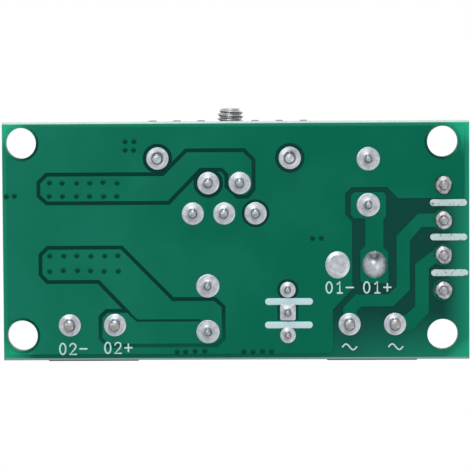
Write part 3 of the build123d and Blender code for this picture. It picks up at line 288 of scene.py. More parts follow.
def scorchedInkFinish():
    # Epoxy ink that was overheated: dulled, with dark pits
    look = scorchLook
    finish, add, shader = newFinish("scorchedEpoxyInk", {"Roughness": 0.65})
    place = add("ShaderNodeTexCoord", {}).outputs["Object"]
    pits = roughen(add, shader, place, look["pitSize"], 3.0, 0.3, look["pitDepth"])
    pitStep = add("ShaderNodeMapRange", {"Value": pits, "From Min": 0.56, "From Max": 0.7})
    colour = add("ShaderNodeMix", {"Factor": pitStep, "A": look["ink"], "B": look["pit"]}, data_type="RGBA")
    feed(shader, {"Base Color": colour})
    return finish


def sleeveFinish(name, centre):
    # Heat-shrunk film: glossy near-black with a pale polarity band down one side
    look = sleeveLook
    finish, add, shader = newFinish(name, {"Roughness": 0.26, "IOR": 1.5})
    place = add("ShaderNodeTexCoord", {}).outputs["Object"]
    local = add("ShaderNodeMapping", {"Vector": place, "Location": (-centre.x, -centre.y, 0)})
    x, y, _ = add("ShaderNodeSeparateXYZ", {0: local}).outputs
    side = add("ShaderNodeMath", {0: x}, operation="ABSOLUTE")
    narrow = add("ShaderNodeMath", {0: side, 1: look["bandHalf"] * mm}, operation="LESS_THAN")
    front = add("ShaderNodeMath", {0: y, 1: 0.0}, operation="LESS_THAN")
    band = add("ShaderNodeMath", {0: narrow, 1: front}, operation="MULTIPLY")
    colour = add("ShaderNodeMix", {"Factor": band, "A": look["film"], "B": look["band"]}, data_type="RGBA")
    feed(shader, {"Base Color": colour})
    roughen(add, shader, place, look["rippleSize"], 2.0, 0.15, look["rippleDepth"])
    return finish


# Slot to name, pale and dark tone, roughness and scratch width, and what the finish gives the eye
platedLooks = {
    "tinned_brass": ("tinnedBrass", "#a1a29e", "#7a7b78", 0.32, 0.3),  # dipped pin: warm grey, soft shine
    "plated_brass": ("nickelPlatedBrass", "#c4bfae", "#9d998b", 0.3, 0.4),  # pressed cage: pale straw
    "zinc_steel": ("zincPlatedSteel", "#c3c8cc", "#999fa5", 0.3, 0.4),  # clamp screw: cold, bright grey
    "tinned_copper": ("tinPlatedCopper", "#a9abad", "#838689", 0.34, 0.5),  # stamped tab: even, satin grey
    "screw_steel": ("nickelPlatedSteel", "#c8c9c9", "#898c8e", 0.28, 0.3),  # rolled screw: bright crests
    "copper_wire": ("enamelledCopperWire", "#b8713f", "#8c4f28", 0.25, 0.3),  # varnished wire: glossy orange
    "brass": ("turnedBrass", "#d1b06a", "#a98745", 0.28, 0.2),  # turned screw: yellow, crisp highlights
    "tinned_lead": ("tinPlatedLead", "#a2a6aa", "#7b7f83", 0.34, 0.3),  # drawn wire: grey, softly streaked
}
# Slot to name, pale and dark tone, roughness, grain width and depth
mouldedLooks = {
    "white_ink": ("epoxyInk", "#c6e1e7", "#b4d1d8", 0.6, 0.15, 0.01),  # screen print: flat, cool white
    "terminal_housing": ("mouldedPolyamide", "#3d4545", "#353c3c", 0.5, 0.25, 0.02),  # nylon: dull grey-green
    "moulding_compound": ("epoxyMouldingCompound", "#26272a", "#1c1d1f", 0.55, 0.12, 0.02),  # fine matt black
    "bung_rubber": ("butylRubber", "#232323", "#1a1a1a", 0.75, 0.2, 0.02),  # pressed rubber: dead matt
    "ferrite": ("sinteredFerrite", "#3b3c3f", "#2c2d30", 0.62, 0.18, 0.05),  # fired powder: dark and gritty
    "base_plastic": ("phenolicBase", "#262627", "#1d1d1e", 0.5, 0.2, 0.02),  # pressed resin: plain black
    "trimmer_plastic": ("bluePolyester", "#1f57a8", "#1a4b96", 0.35, 0.3, 0.015),  # clean, semi-gloss blue
    "chip_black": ("glazedThickFilm", "#1c1d20", "#131416", 0.3, 0.1, 0.01),  # glassy black top
    "chip_tan": ("sinteredTitanate", "#a98a66", "#93764f", 0.5, 0.1, 0.02),  # fired ceramic: dull tan
    "light_white": ("whiteReflectorResin", "#e2e0d8", "#d3d1c8", 0.45, 0.2, 0.01),  # warm, even white
    "light_resin": ("castRedResin", "#b3261e", "#93201a", 0.16, 0.5, 0.01,
                    {"Transmission Weight": 0.3, "IOR": 1.52}),  # clear red with a wet gloss
}
finishes = {"board_laminate": solderMaskFinish(), "black_anodised": anodisedFinish(),
            "solder": tinSolderFinish("tinSolder", "#b6bac1", "#a0a5ad", "#33373b", 0.32)}
finishes.update({slotName: platedFinish(*look) for slotName, look in platedLooks.items()})
finishes.update({slotName: mouldedFinish(*look) for slotName, look in mouldedLooks.items()})
print("finishes made:", len(finishes))


def newPiece(name, shape):
    # shape: a bmesh, which is used up, or finished data of any kind
    if isinstance(shape, bmesh.types.BMesh):
        mesh = bpy.data.meshes.new(name)
        shape.to_mesh(mesh)
        shape.free()
        shape = mesh
    piece = bpy.data.objects.new(name, shape)
    scene.collection.objects.link(piece)
    return piece


def settle(piece):
    # Turns the piece with its modifiers into a plain mesh
    graph = bpy.context.evaluated_depsgraph_get()
    piece.data = bpy.data.meshes.new_from_object(piece.evaluated_get(graph), depsgraph=graph)
    piece.modifiers.clear()


def smooth(piece, angle=None):
    # Without an angle, no edge stays sharp
    piece.data.polygons.foreach_set("use_smooth", [True] * len(piece.data.polygons))
    if angle is not None:
        piece.data.set_sharp_from_angle(angle=math.radians(angle))


def fit(piece, slotName, body, *replaced):
    # Gives a finished piece its material, its body and the CAD nodes that it stands for
    if not piece.data.materials:
        piece.data.materials.append(finishes[slotName])
    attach(piece, body)
    if replaced:
        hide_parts(*replaced)


mergeLook = {"seam": 0.0005, "bevelScrap": 0.002, "flatAngle": 1, "edgeAngle": 35}  # mm and degrees


def softened(nodeName, edge, body="module"):
    # Copy of a CAD node with its edges rounded as a mould or a press leaves them
    look = mergeLook
    piece = newPiece(nodeName + "_finished", nodes[nodeName].data.copy())
    piece.data.materials.clear()
    shape = bmesh.new()
    shape.from_mesh(piece.data)
    bmesh.ops.remove_doubles(shape, verts=shape.verts, dist=look["seam"] * mm)
    bmesh.ops.dissolve_limit(
        shape, angle_limit=math.radians(look["flatAngle"]), verts=shape.verts, edges=shape.edges)
    shape.to_mesh(piece.data)
    shape.free()
    rounding = piece.modifiers.new("rounding", "BEVEL")
    rounding.width = edge * mm
    rounding.segments = 2
    rounding.limit_method = "ANGLE"
    rounding.angle_limit = math.radians(look["edgeAngle"])
    settle(piece)
    shape = bmesh.new()
    shape.from_mesh(piece.data)
    bmesh.ops.remove_doubles(shape, verts=shape.verts, dist=look["bevelScrap"] * mm)
    bmesh.ops.dissolve_degenerate(shape, edges=shape.edges, dist=look["bevelScrap"] * mm)
    shape.to_mesh(piece.data)
    shape.free()
    smooth(piece)
    piece.modifiers.new("broad faces stay flat", "WEIGHTED_NORMAL")
    settle(piece)
    fit(piece, slotOf[nodeName], body, nodeName)


def islands(nodeName):
    # Box of each separate solid of a CAD node
    shape = bmesh.new()
    shape.from_mesh(nodes[nodeName].data)
    bmesh.ops.remove_doubles(shape, verts=shape.verts, dist=mergeLook["seam"] * mm)
    found, seen = [], set()
    for first in shape.verts:
        if first in seen:
            continue
        seen.add(first)
        group, waiting = [], [first]
        while waiting:
            vertex = waiting.pop()
            group.append(vertex.co.copy())
            for edge in vertex.link_edges:
                other = edge.other_vert(vertex)
                if other not in seen:
                    seen.add(other)
                    waiting.append(other)
        found.append([Vector([side(co[axis] for co in group) for axis in range(3)]) for side in (min, max)])
    shape.free()
    return found


def skin(shape, rings):
    # Faces between rings of vertices, where a pole is a ring of one vertex repeated
    steps = len(rings[0])
    for lower, upper in zip(rings, rings[1:]):
        for i in range(steps):
            corners = [lower[i], lower[(i + 1) % steps], upper[(i + 1) % steps], upper[i]]
            shape.faces.new(list(dict.fromkeys(corners)))
    bmesh.ops.recalc_face_normals(shape, faces=shape.faces)


def lathe(name, profile, steps):
    # profile: radius and height pairs in mm, from pole to pole
    shape = bmesh.new()
    turns = [2 * math.pi * i / steps for i in range(steps)]
    rings = []
    for radius, height in profile:
        if radius == 0:
            rings.append([shape.verts.new((0, 0, height * mm))] * steps)
        else:
            rings.append([shape.verts.new((
                radius * mm * math.cos(turn), radius * mm * math.sin(turn), height * mm)) for turn in turns])
    skin(shape, rings)
    return newPiece(name, shape)


def cut(piece, size, centre):
    # Cuts a box-shaped slot, sizes in mm
    shape = bmesh.new()
    bmesh.ops.create_cube(shape, size=1.0)
    bmesh.ops.scale(shape, vec=Vector(size) * mm, verts=shape.verts)
    bmesh.ops.translate(shape, vec=Vector(centre) * mm, verts=shape.verts)
    cutter = newPiece("cutter", shape)
    slot = piece.modifiers.new("slot", "BOOLEAN")
    slot.operation = "DIFFERENCE"
    slot.solver = "EXACT"
    slot.object = cutter
    settle(piece)
    bpy.data.objects.remove(cutter)


def stand(piece, place, angle):
    # Moves a turned piece to its place, in its mesh, and keeps edges over the angle sharp
    piece.data.transform(place if isinstance(place, Matrix) else Matrix.Translation((place.x, place.y, 0)))
    smooth(piece, angle)


# Geometry Nodes: each tree has named inputs, and ends in Realize Instances and Set Material
def newTree(name, sizes):
    tree = bpy.data.node_groups.new(name, "GeometryNodeTree")
    tree.interface.new_socket(name="Geometry", in_out="INPUT", socket_type="NodeSocketGeometry")
    for label, value in sizes.items():
        kind = "NodeSocketInt" if isinstance(value, int) else "NodeSocketFloat"
        tree.interface.new_socket(name=label, in_out="INPUT", socket_type=kind).default_value = value
    tree.interface.new_socket(name="Finish", in_out="INPUT", socket_type="NodeSocketMaterial")
    tree.interface.new_socket(name="Geometry", in_out="OUTPUT", socket_type="NodeSocketGeometry")
    add = partial(addNode, tree)
    return add, add("NodeGroupInput", {}).outputs


def endTree(add, given, geometry):
    realised = add("GeometryNodeRealizeInstances", {0: geometry})
    rounded = add("GeometryNodeSetShadeSmooth", {0: realised})
    finished = add("GeometryNodeSetMaterial", {0: rounded, "Material": given["Finish"]})
    add("NodeGroupOutput", {0: finished})
    return geometry.id_data


def grow(name, tree, values, finish, points, edges=()):
    # Runs a tree on a carrier of loose points or edges, and keeps the plain mesh
    carrierMesh = bpy.data.meshes.new(name)
    carrierMesh.from_pydata([Vector(p) for p in points], edges, [])
    piece = newPiece(name, carrierMesh)
    grower = piece.modifiers.new(tree.name, "NODES")
    grower.node_group = tree
    values = dict(values, Finish=finish)
    for item in tree.interface.items_tree:
        if item.in_out == "INPUT" and item.name in values:
            grower[item.identifier] = values[item.name]
    settle(piece)
    return piece


def shapeCurve(node, heights):
    # Even steps along the curve, straight between them
    points = node.mapping.curves[0].points
    while len(points) < len(heights):
        points.new(0.5, 0.5)
    for i, (point, height) in enumerate(zip(points, heights)):
        point.location = (i / (len(heights) - 1), height)
        point.handle_type = "VECTOR"
    node.mapping.update()


def startRoll(add, columns, rows, fullTurn):
    # A grid to roll up round Z, the angle of each column with its cosine and sine, and the way along
    grid = add("GeometryNodeMeshGrid", {
        "Size X": 1.0, "Size Y": 1.0, "Vertices X": columns, "Vertices Y": rows})
    across, along, _ = add("ShaderNodeSeparateXYZ", {0: grid.outputs["UV Map"]}).outputs
    turn = add("ShaderNodeMath", {0: across, 1: fullTurn}, operation="MULTIPLY")
    cosine = add("ShaderNodeMath", {0: turn}, operation="COSINE")
    sine = add("ShaderNodeMath", {0: turn}, operation="SINE")
    return grid, across, along, turn, cosine, sine


def rollUp(add, grid, cosine, sine, radius, height):
    x = add("ShaderNodeMath", {0: cosine, 1: radius}, operation="MULTIPLY")
    y = add("ShaderNodeMath", {0: sine, 1: radius}, operation="MULTIPLY")
    place = add("ShaderNodeCombineXYZ", {0: x, 1: y, 2: height})
    return add("GeometryNodeSetPosition", {0: grid, "Position": place}), x, y


weld = 0.001 * mm  # points closer than this become one


def solderTree():
    # One joint: a rim on the pad, a hollow dish or a full dome, and a thin collar up the lead
    add, given = newTree("solderJoints", {
        "Pad Radius": 1.2 * mm, "Neck Radius": 0.5 * mm, "Height": 1.05 * mm, "Rim": 0.07 * mm,
        "Squareness": 0.0, "Fullness": 0.0, "Wings": 0.2 * mm, "Lump": 0.05 * mm, "Lump Size": 1.0 * mm,
        "Collar Shade": 0.65, "Spot Shade": 0.0, "Spot X": 0.1 * mm, "Spot Y": 0.62 * mm,
        "Spot Size": 0.9 * mm, "Seed": 3})
    columns, swing = 37, 0.35  # swing: how far a joint may turn on its pad, in radians
    rimEdge, foot, rimRise, dishRise, domeRise = 0.985, 0.14, 0.085, 0.08, 0.62  # shares of radius and height
    climb = [i / 6 for i in range(7)]
    bend = [math.pi / 2 * i / 5 for i in range(1, 6)]
    # Each list runs from the middle of the underside to the middle of the top
    padShare = [0, 1, 1, *(rimEdge - (rimEdge - foot) * t for t in climb),
                *(foot * (1 - math.sin(b)) for b in bend), 0]
    neckShare = [0, 0, *(1 - p for p in padShare[2:-1]), 0]
    dish = [rimRise + dishRise * t * t for t in climb]
    dome = [rimRise + domeRise * math.sqrt(1 - (1 - t) ** 2) for t in climb]
    rises = [[0, 0, 0.05, *part, *(part[-1] + (1 - part[-1]) * (1 - math.cos(b)) for b in bend), 1]
             for part in (dish, dome)]
    paintedShadeShare = [0, 0, 0, *(max(0.0, t * 1.5 - 0.5) for t in climb), 1, 1, 0.9, 0.7, 0.4, 0]
    grid, _, along, turn, cosine, sine = startRoll(add, columns, len(padShare), 2 * math.pi)
    curves = []
    for heights in (padShare, neckShare, *rises, paintedShadeShare):
        curves.append(add("ShaderNodeFloatCurve", {"Value": along}))
        shapeCurve(curves[-1], heights)
    onPad, onNeck, dishCurve, domeCurve, paintedShadeCurve = curves
    # Radius: from the pad's outline to the lead's, pinched between wings at two sides
    sides = [add("ShaderNodeMath", {0: part}, operation="ABSOLUTE") for part in (cosine, sine)]
    longer = add("ShaderNodeMath", {0: sides[0], 1: sides[1]}, operation="MAXIMUM")
    toSquare = add("ShaderNodeMath", {0: 1.0, 1: longer}, operation="DIVIDE")
    padShape = add("ShaderNodeMix", {
        "Factor": given["Squareness"], "A": 1.0, "B": toSquare}, data_type="FLOAT")
    padRadius = add("ShaderNodeMath", {0: padShape, 1: given["Pad Radius"]}, operation="MULTIPLY")
    padPart = add("ShaderNodeMath", {0: onPad, 1: padRadius}, operation="MULTIPLY")
    cone = add("ShaderNodeMath", {0: onNeck, 1: given["Neck Radius"], 2: padPart}, operation="MULTIPLY_ADD")
    rest = add("ShaderNodeMath", {0: 1.0, 1: onPad}, operation="SUBTRACT")
    middle = add("ShaderNodeMath", {0: rest, 1: onPad}, operation="MULTIPLY")
    wingTurn = add("ShaderNodeMath", {0: turn, 1: 2.0}, operation="MULTIPLY")
    wingSide = add("ShaderNodeMath", {0: wingTurn}, operation="COSINE")
    wingSize = add("ShaderNodeMath", {0: middle, 1: given["Wings"]}, operation="MULTIPLY")
    wings = add("ShaderNodeMath", {0: wingSide, 1: wingSize}, operation="MULTIPLY")
    radius = add("ShaderNodeMath", {0: cone, 1: wings}, operation="SUBTRACT")
    # Height: down from the rim, because the solder side faces down
    reach = add("ShaderNodeMath", {0: given["Height"], 1: given["Rim"]}, operation="ADD")
    rise = add("ShaderNodeMix", {
        "Factor": given["Fullness"], "A": dishCurve, "B": domeCurve}, data_type="FLOAT")
    drop = add("ShaderNodeMath", {0: rise, 1: reach}, operation="MULTIPLY")
    height = add("ShaderNodeMath", {0: given["Rim"], 1: drop}, operation="SUBTRACT")
    shaped, x, y = rollUp(add, grid, cosine, sine, radius, height)
    # Painted shade and dark reflection: a ring at the foot of the lead, darker to both sides and towards -Y,
    # and one round spot
    lean = add("ShaderNodeMapRange", {
        "Value": sine, "From Min": -0.1, "From Max": 0.8, "To Min": 1.0, "To Max": 0.1})
    lobes = add("ShaderNodeMapRange", {"Value": sides[0], "To Min": 0.4, "To Max": 1.0})
    leaning = add("ShaderNodeMath", {0: lean, 1: lobes}, operation="MULTIPLY")
    ringShade = add("ShaderNodeMath", {0: paintedShadeCurve, 1: leaning}, operation="MULTIPLY")
    collarShade = add("ShaderNodeMath", {0: ringShade, 1: given["Collar Shade"]}, operation="MULTIPLY")
    spotX = add("ShaderNodeMath", {0: x, 1: given["Spot X"]}, operation="SUBTRACT")
    spotY = add("ShaderNodeMath", {0: y, 1: given["Spot Y"]}, operation="SUBTRACT")
    fromSpot = add("ShaderNodeCombineXYZ", {0: spotX, 1: spotY})
    spotAway = add("ShaderNodeVectorMath", {0: fromSpot}, operation="LENGTH").outputs["Value"]
    spotShape = add("ShaderNodeMapRange", {
        "Value": spotAway, "From Min": given["Spot Size"], "From Max": 0.0}, interpolation_type="SMOOTHSTEP")
    spotShade = add("ShaderNodeMath", {0: spotShape, 1: given["Spot Shade"]}, operation="MULTIPLY")
    stain = add("ShaderNodeMath", {0: collarShade, 1: spotShade}, operation="MAXIMUM")
    shadePainted = add("GeometryNodeStoreNamedAttribute", {0: shaped, "Name": "stain", "Value": stain})
    closed = add("GeometryNodeMergeByDistance", {0: shadePainted, "Distance": weld})
    outward = add("GeometryNodeFlipFaces", {0: closed})
    # Each joint is turned a little on its pad, but a square one isn't
    turned = add("FunctionNodeRandomValue", {
        "Seed": given["Seed"], 0: (0, 0, -swing), 1: (0, 0, swing)}, data_type="FLOAT_VECTOR")
    squareTurn = add("ShaderNodeMath", {0: 1.0, 1: given["Squareness"]}, operation="SUBTRACT")
    steadied = add("ShaderNodeVectorMath", {0: turned, "Scale": squareTurn}, operation="SCALE")
    standing = add("GeometryNodeInstanceOnPoints", {
        "Points": given[0], "Instance": outward, "Rotation": steadied})
    whole = add("GeometryNodeRealizeInstances", {0: standing})
    # Lumps as the solder froze, different on every joint
    position = add("GeometryNodeInputPosition", {})
    lumpScale = add("ShaderNodeMath", {0: 1.0, 1: given["Lump Size"]}, operation="DIVIDE")
    lumps = add("ShaderNodeTexNoise", {"Vector": position, "Scale": lumpScale, "Detail": 1.0})
    centred = add("ShaderNodeMath", {0: lumps, 1: 0.5}, operation="SUBTRACT")
    amount = add("ShaderNodeMath", {0: centred, 1: given["Lump"]}, operation="MULTIPLY")
    normal = add("GeometryNodeInputNormal", {})
    push = add("ShaderNodeVectorMath", {0: normal, "Scale": amount}, operation="SCALE")
    return endTree(add, given, add("GeometryNodeSetPosition", {0: whole, "Offset": push}))


def threadTree():
    # Threaded shank that points down from the origin, closed at both ends and tapered at its tip
    add, given = newTree("screwThread", {
        "Radius": 1.5 * mm, "Pitch": 0.5 * mm, "Depth": 0.28 * mm, "Length": 8.0 * mm, "Rows": 120})
    columns, capShare = 33, 0.0005  # capShare: the first and last rows lie within it, and close the ends
    grid, across, along, _, cosine, sine = startRoll(add, columns, given["Rows"], -2 * math.pi)
    depth = add("ShaderNodeMath", {0: along, 1: given["Length"]}, operation="MULTIPLY")
    turns = add("ShaderNodeMath", {0: depth, 1: given["Pitch"]}, operation="DIVIDE")
    phase = add("ShaderNodeMath", {0: turns, 1: across}, operation="ADD")
    wave = add("ShaderNodeMath", {0: phase, 1: 0.5}, operation="PINGPONG")
    valley = add("ShaderNodeMapRange", {
        "Value": wave, "From Min": 0.08, "From Max": 0.42, "To Min": 1.0, "To Max": 0.0})
    groove = add("ShaderNodeMath", {0: valley, 1: given["Depth"]}, operation="MULTIPLY")
    bored = add("ShaderNodeMath", {0: given["Radius"], 1: groove}, operation="SUBTRACT")
    tip = add("ShaderNodeMapRange", {
        "Value": along, "From Min": 0.93, "From Max": 1.0, "To Min": 1.0, "To Max": 0.72})
    tapered = add("ShaderNodeMath", {0: bored, 1: tip}, operation="MULTIPLY")
    pastFirst = add("ShaderNodeMath", {0: along, 1: capShare}, operation="GREATER_THAN")
    beforeLast = add("ShaderNodeMath", {0: along, 1: 1 - capShare}, operation="LESS_THAN")
    between = add("ShaderNodeMath", {0: pastFirst, 1: beforeLast}, operation="MULTIPLY")
    radius = add("ShaderNodeMath", {0: tapered, 1: between}, operation="MULTIPLY")
    height = add("ShaderNodeMath", {0: depth, 1: -1.0}, operation="MULTIPLY")
    shaped, _, _ = rollUp(add, grid, cosine, sine, radius, height)
    closed = add("GeometryNodeMergeByDistance", {0: shaped, "Distance": weld})
    return endTree(add, given, add("GeometryNodeInstanceOnPoints", {"Points": given[0], "Instance": closed}))


def inkTree():
    # Printed strokes: a flattened tube along each line, with a round blob at each of its points
    add, given = newTree("inkStrokes", {
        "Stroke Width": 0.24 * mm, "Ink Thickness": 0.03 * mm, "Blob Segments": 24, "Blob Rings": 8})
    half = add("ShaderNodeMath", {0: given["Stroke Width"], 1: 0.5}, operation="MULTIPLY")
    strokes = add("GeometryNodeMergeByDistance", {0: given[0], "Distance": weld})
    line = add("GeometryNodeMeshToCurve", {0: strokes})
    nib = add("GeometryNodeCurvePrimitiveCircle", {"Resolution": 12, "Radius": half})
    tube = add("GeometryNodeCurveToMesh", {"Curve": line, "Profile Curve": nib, "Fill Caps": True})
    ball = add("GeometryNodeMeshUVSphere", {
        "Segments": given["Blob Segments"], "Rings": given["Blob Rings"], "Radius": half})
    blobs = add("GeometryNodeInstanceOnPoints", {"Points": strokes, "Instance": ball})
    whole = add("GeometryNodeRealizeInstances", {0: blobs})
    joined = add("GeometryNodeJoinGeometry", {})
    for part in (tube, whole):
        feed(joined, {0: part})
    position = add("GeometryNodeInputPosition", {})
    x, y, z = add("ShaderNodeSeparateXYZ", {0: position}).outputs
    flatness = add("ShaderNodeMath", {0: given["Ink Thickness"], 1: half}, operation="DIVIDE")
    flatZ = add("ShaderNodeMath", {0: z, 1: flatness}, operation="MULTIPLY")
    flat = add("ShaderNodeCombineXYZ", {0: x, 1: y, 2: flatZ})
    return endTree(add, given, add("GeometryNodeSetPosition", {0: joined, "Position": flat}))


def viaTree():
    # Tented vias, drilled a little off their grid: a low cone of mask over each
    add, given = newTree("tentedVias", {
        "Disc Radius": 0.2 * mm, "Disc Rise": 0.01 * mm, "Scatter": 0.06 * mm, "Seed": 5})
    disc = add("GeometryNodeMeshCone", {
        "Vertices": 16, "Radius Top": 0.0, "Radius Bottom": given["Disc Radius"],
        "Depth": given["Disc Rise"]})
    spread = add("FunctionNodeRandomValue", {
        "Seed": given["Seed"], 0: (-1, -1, 0), 1: (1, 1, 0)}, data_type="FLOAT_VECTOR")
    offset = add("ShaderNodeVectorMath", {0: spread, "Scale": given["Scatter"]}, operation="SCALE")
    drilled = add("GeometryNodeSetPosition", {0: given[0], "Offset": offset})
    return endTree(add, given, add("GeometryNodeInstanceOnPoints", {
        "Points": drilled, "Instance": disc, "Rotation": (math.pi, 0, 0)}))


# Board
boardEdge = 0.05
softened("board", boardEdge)
print("board softened")

# Solder joints, one tree for all of them. Neck, wings and lump in mm
jointLook = {
    "solder_ac_terminal": {"neck": 0.56, "wings": 0.9, "seed": 11},
    "solder_output_terminal": {"neck": 0.56, "wings": 0.9, "seed": 12},
    "solder_regulator": {"neck": 0.42, "wings": 0.7, "seed": 13},
    "solder_bridge": {"neck": 0.48, "wings": 0.6, "seed": 14, "fullness": 0.75, "lump": 0.22, "burnt": True},
    # The heatsink joints carry a painted shade spot instead of a ring round the lead
    "solder_heatsink": {"neck": 0.61, "wings": 0.2, "seed": 15, "collar": 0.0, "spot": 0.7},
    "solder_input_capacitor": {"neck": 0.34, "wings": 0.8, "seed": 16},
    "solder_output_capacitor": {"neck": 0.34, "wings": 0.8, "seed": 17},
    "solder_trimmer": {"neck": 0.29, "wings": 0.5, "seed": 18},
}
fillets = solderTree()
# Overheated tin solder: shinier, and patchier between pale and dark, with its own darker tone for painted
# shade
burntSolder = tinSolderFinish("burntSolderWithPaintedShade", "#c6c7ca", "#7f7d7c", "#3f3b3a", 0.28)
for nodeName, look in jointLook.items():
    found = sorted(islands(nodeName), key=lambda pair: pair[0].y)
    square = [found.pop(1)] if nodeName == "solder_trimmer" else []  # the middle pad of the trimmer
    for boxes, squareness in ((found, 0.0), (square, 1.0)):
        if not boxes:
            continue
        low, high = boxes[0]
        piece = grow(f"{nodeName}_fillets_{int(squareness)}", fillets, {
            "Pad Radius": (high.x - low.x) / 2, "Neck Radius": look["neck"] * mm, "Height": -low.z,
            "Squareness": squareness, "Fullness": look.get("fullness", 0.0), "Wings": look["wings"] * mm,
            "Lump": look.get("lump", 0.05) * mm, "Collar Shade": look.get("collar", 0.65),
            "Spot Shade": look.get("spot", 0.0), "Seed": look["seed"],
        }, burntSolder if look.get("burnt") else finishes["solder"],
            [((a.x + b.x) / 2, (a.y + b.y) / 2, 0) for a, b in boxes])
        fit(piece, "solder", "module", *([] if squareness else [nodeName]))
print("solder joints grown")

# Bare wire pads: one flat, one domed with a painted dark reflection on it, in mm and degrees
padLook = {
    "steps": 48, "rings": 14, "domedFrom": 0.3, "flatRise": 0.12, "flatRim": 0.25,
    "paintedShadeUp": 0.95, "paintedShadeHigh": 0.7, "paintedShadeMost": 0.9, "paintedShadeSlope": 1.5, "sharpOver": 60,
}


def makeWirePads():
    look = padLook
    shape = bmesh.new()
    stain = shape.verts.layers.float.new("stain")
    for low, high in islands("solder_wire_pads"):
        centre, half = (low + high) / 2, (high - low) / 2
        domed = high.z - low.z > look["domedFrom"] * mm
        rings = []
        for share in [ring / look["rings"] for ring in range(look["rings"] + 1)]:
            out = 1 - share
            flatDrop = look["flatRise"] * mm * min(1, share / look["flatRim"])
            drop = -low.z * (1 - out ** 2) if domed else flatDrop
            if out == 0:
                rings.append([shape.verts.new((centre.x, centre.y, -drop))] * look["steps"])
                continue
            rings.append([])
            for i in range(look["steps"]):
                turn = 2 * math.pi * i / look["steps"]
                x, y = half.x * out * math.cos(turn), half.y * out * math.sin(turn)
                vertex = shape.verts.new((centre.x + x, centre.y + y, -drop))
                # Painted dark reflection towards +Y on the domed pad
                away = math.hypot(x, (y - look["paintedShadeUp"] * mm) / look["paintedShadeHigh"]) / mm
                if domed:
                    vertex[stain] = max(0.0, min(look["paintedShadeMost"], look["paintedShadeSlope"] * (1 - away)))
                rings[-1].append(vertex)
        shape.faces.new(rings[0])
        skin(shape, rings)
    return newPiece("wire_pads", shape)


wirePads = makeWirePads()
smooth(wirePads, padLook["sharpOver"])
fit(wirePads, "solder", "module", "solder_wire_pads")

# Ink: bars between pads, and plain pole marks beside them. Lengths in mm
inkLook = {
    "barWidth": 0.76, "strokeWidth": 0.18, "thickness": 0.03, "markHeight": 1.22, "markWidth": 0.78,
    "markGap": 0.36, "bridgeReach": 5, "barBlob": (24, 8), "markBlob": (8, 5),
}
ink = inkTree()


def inkPiece(name, strokes, width, blob, finish, *replaced):
    # strokes: lists of x, y, z points in metres
    points, edges = [], []
    for stroke in strokes:
        start = len(points)
        points += stroke
        edges += [(start + i, start + i + 1) for i in range(len(stroke) - 1)]
    piece = grow(name, ink, {
        "Stroke Width": width * mm, "Ink Thickness": inkLook["thickness"] * mm,
        "Blob Segments": blob[0], "Blob Rings": blob[1]}, finish, points, edges)
    fit(piece, "white_ink", "module", *replaced)


barStrokes = {"clean": [], "scorched": []}  # those between the pads of the bridge are scorched by its heat
for low, high in islands("ink_bars"):
    y, end = (low.y + high.y) / 2, inkLook["barWidth"] / 2 * mm
    besideBridge = high.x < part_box("bridge_body")[1].x + inkLook["bridgeReach"] * mm
    barStrokes["scorched" if besideBridge else "clean"].append([(low.x + end, y, 0), (high.x - end, y, 0)])
barShape = inkLook["barWidth"], inkLook["barBlob"]
inkPiece("ink_bars_printed", barStrokes["clean"], *barShape, finishes["white_ink"], "ink_bars")
inkPiece("ink_bars_scorched", barStrokes["scorched"], *barShape, scorchedInkFinish())

ovalTurns = [2 * math.pi * i / 16 for i in range(17)]
waveSteps = [i / 12 for i in range(13)]
# Strokes of each mark in shares of its width and height
markShapes = {
    "0": [[(0.5 - 0.42 * math.sin(turn), 0.5 + 0.5 * math.cos(turn)) for turn in ovalTurns]],
    "1": [[(0.2, 0.8), (0.55, 1.0), (0.55, 0.0)], [(0.2, 0.0), (0.9, 0.0)]],
    "2": [[(0.06, 0.76), (0.18, 0.93), (0.5, 1.0), (0.82, 0.9), (0.9, 0.7), (0.75, 0.5), (0.06, 0.0),
           (0.94, 0.0)]],
    "-": [[(0.0, 0.5), (1.0, 0.5)]],
    "+": [[(0.0, 0.5), (1.0, 0.5)], [(0.5, 0.16), (0.5, 0.84)]],
    "~": [[(2 * step, 0.55 + 0.26 * math.sin(2 * math.pi * step)) for step in waveSteps]],
}
# Text, and the left and lower edge of each mark as read from below, in mm
marks = [
    ("02-", 19.2, -12.75), ("02+", 14.2, -12.65), ("01-", -10.35, -6.05), ("01+", -14.5, -6.05),
    ("~", -12.2, -12.7), ("~", -17.3, -12.7),
]
markStrokes = []
for text, left, lower in marks:
    for letter in text:
        for stroke in markShapes[letter]:
            markStrokes.append([(
                (left - u * inkLook["markWidth"]) * mm, (lower + v * inkLook["markHeight"]) * mm, 0)
                for u, v in stroke])
        left -= inkLook["markWidth"] + inkLook["markGap"]
inkPiece("pole_marks", markStrokes, inkLook["strokeWidth"], inkLook["markBlob"], finishes["white_ink"])
print("ink printed")

# Vias: first and last x of a row, how many, and the y of each such row, in mm
viaRows = [
    (20.16, 12.66, 6, (6.28, 4.76)), (20.14, 12.60, 6, (-1.84, -3.47)), (11.69, 10.77, 2, (10.82, 9.85)),
    (24.89, 24.03, 2, (4.81,)), (-8.93, -9.93, 2, (0.02,)), (6.18, 3.12, 4, (-12.46,)),
    (-1.27, -4.33, 4, (-12.49,)),
]
viaPlaces = [
    ((first + (last - first) * i / (count - 1)) * mm, y * mm, 0)
    for first, last, count, heights in viaRows for y in heights for i in range(count)
]
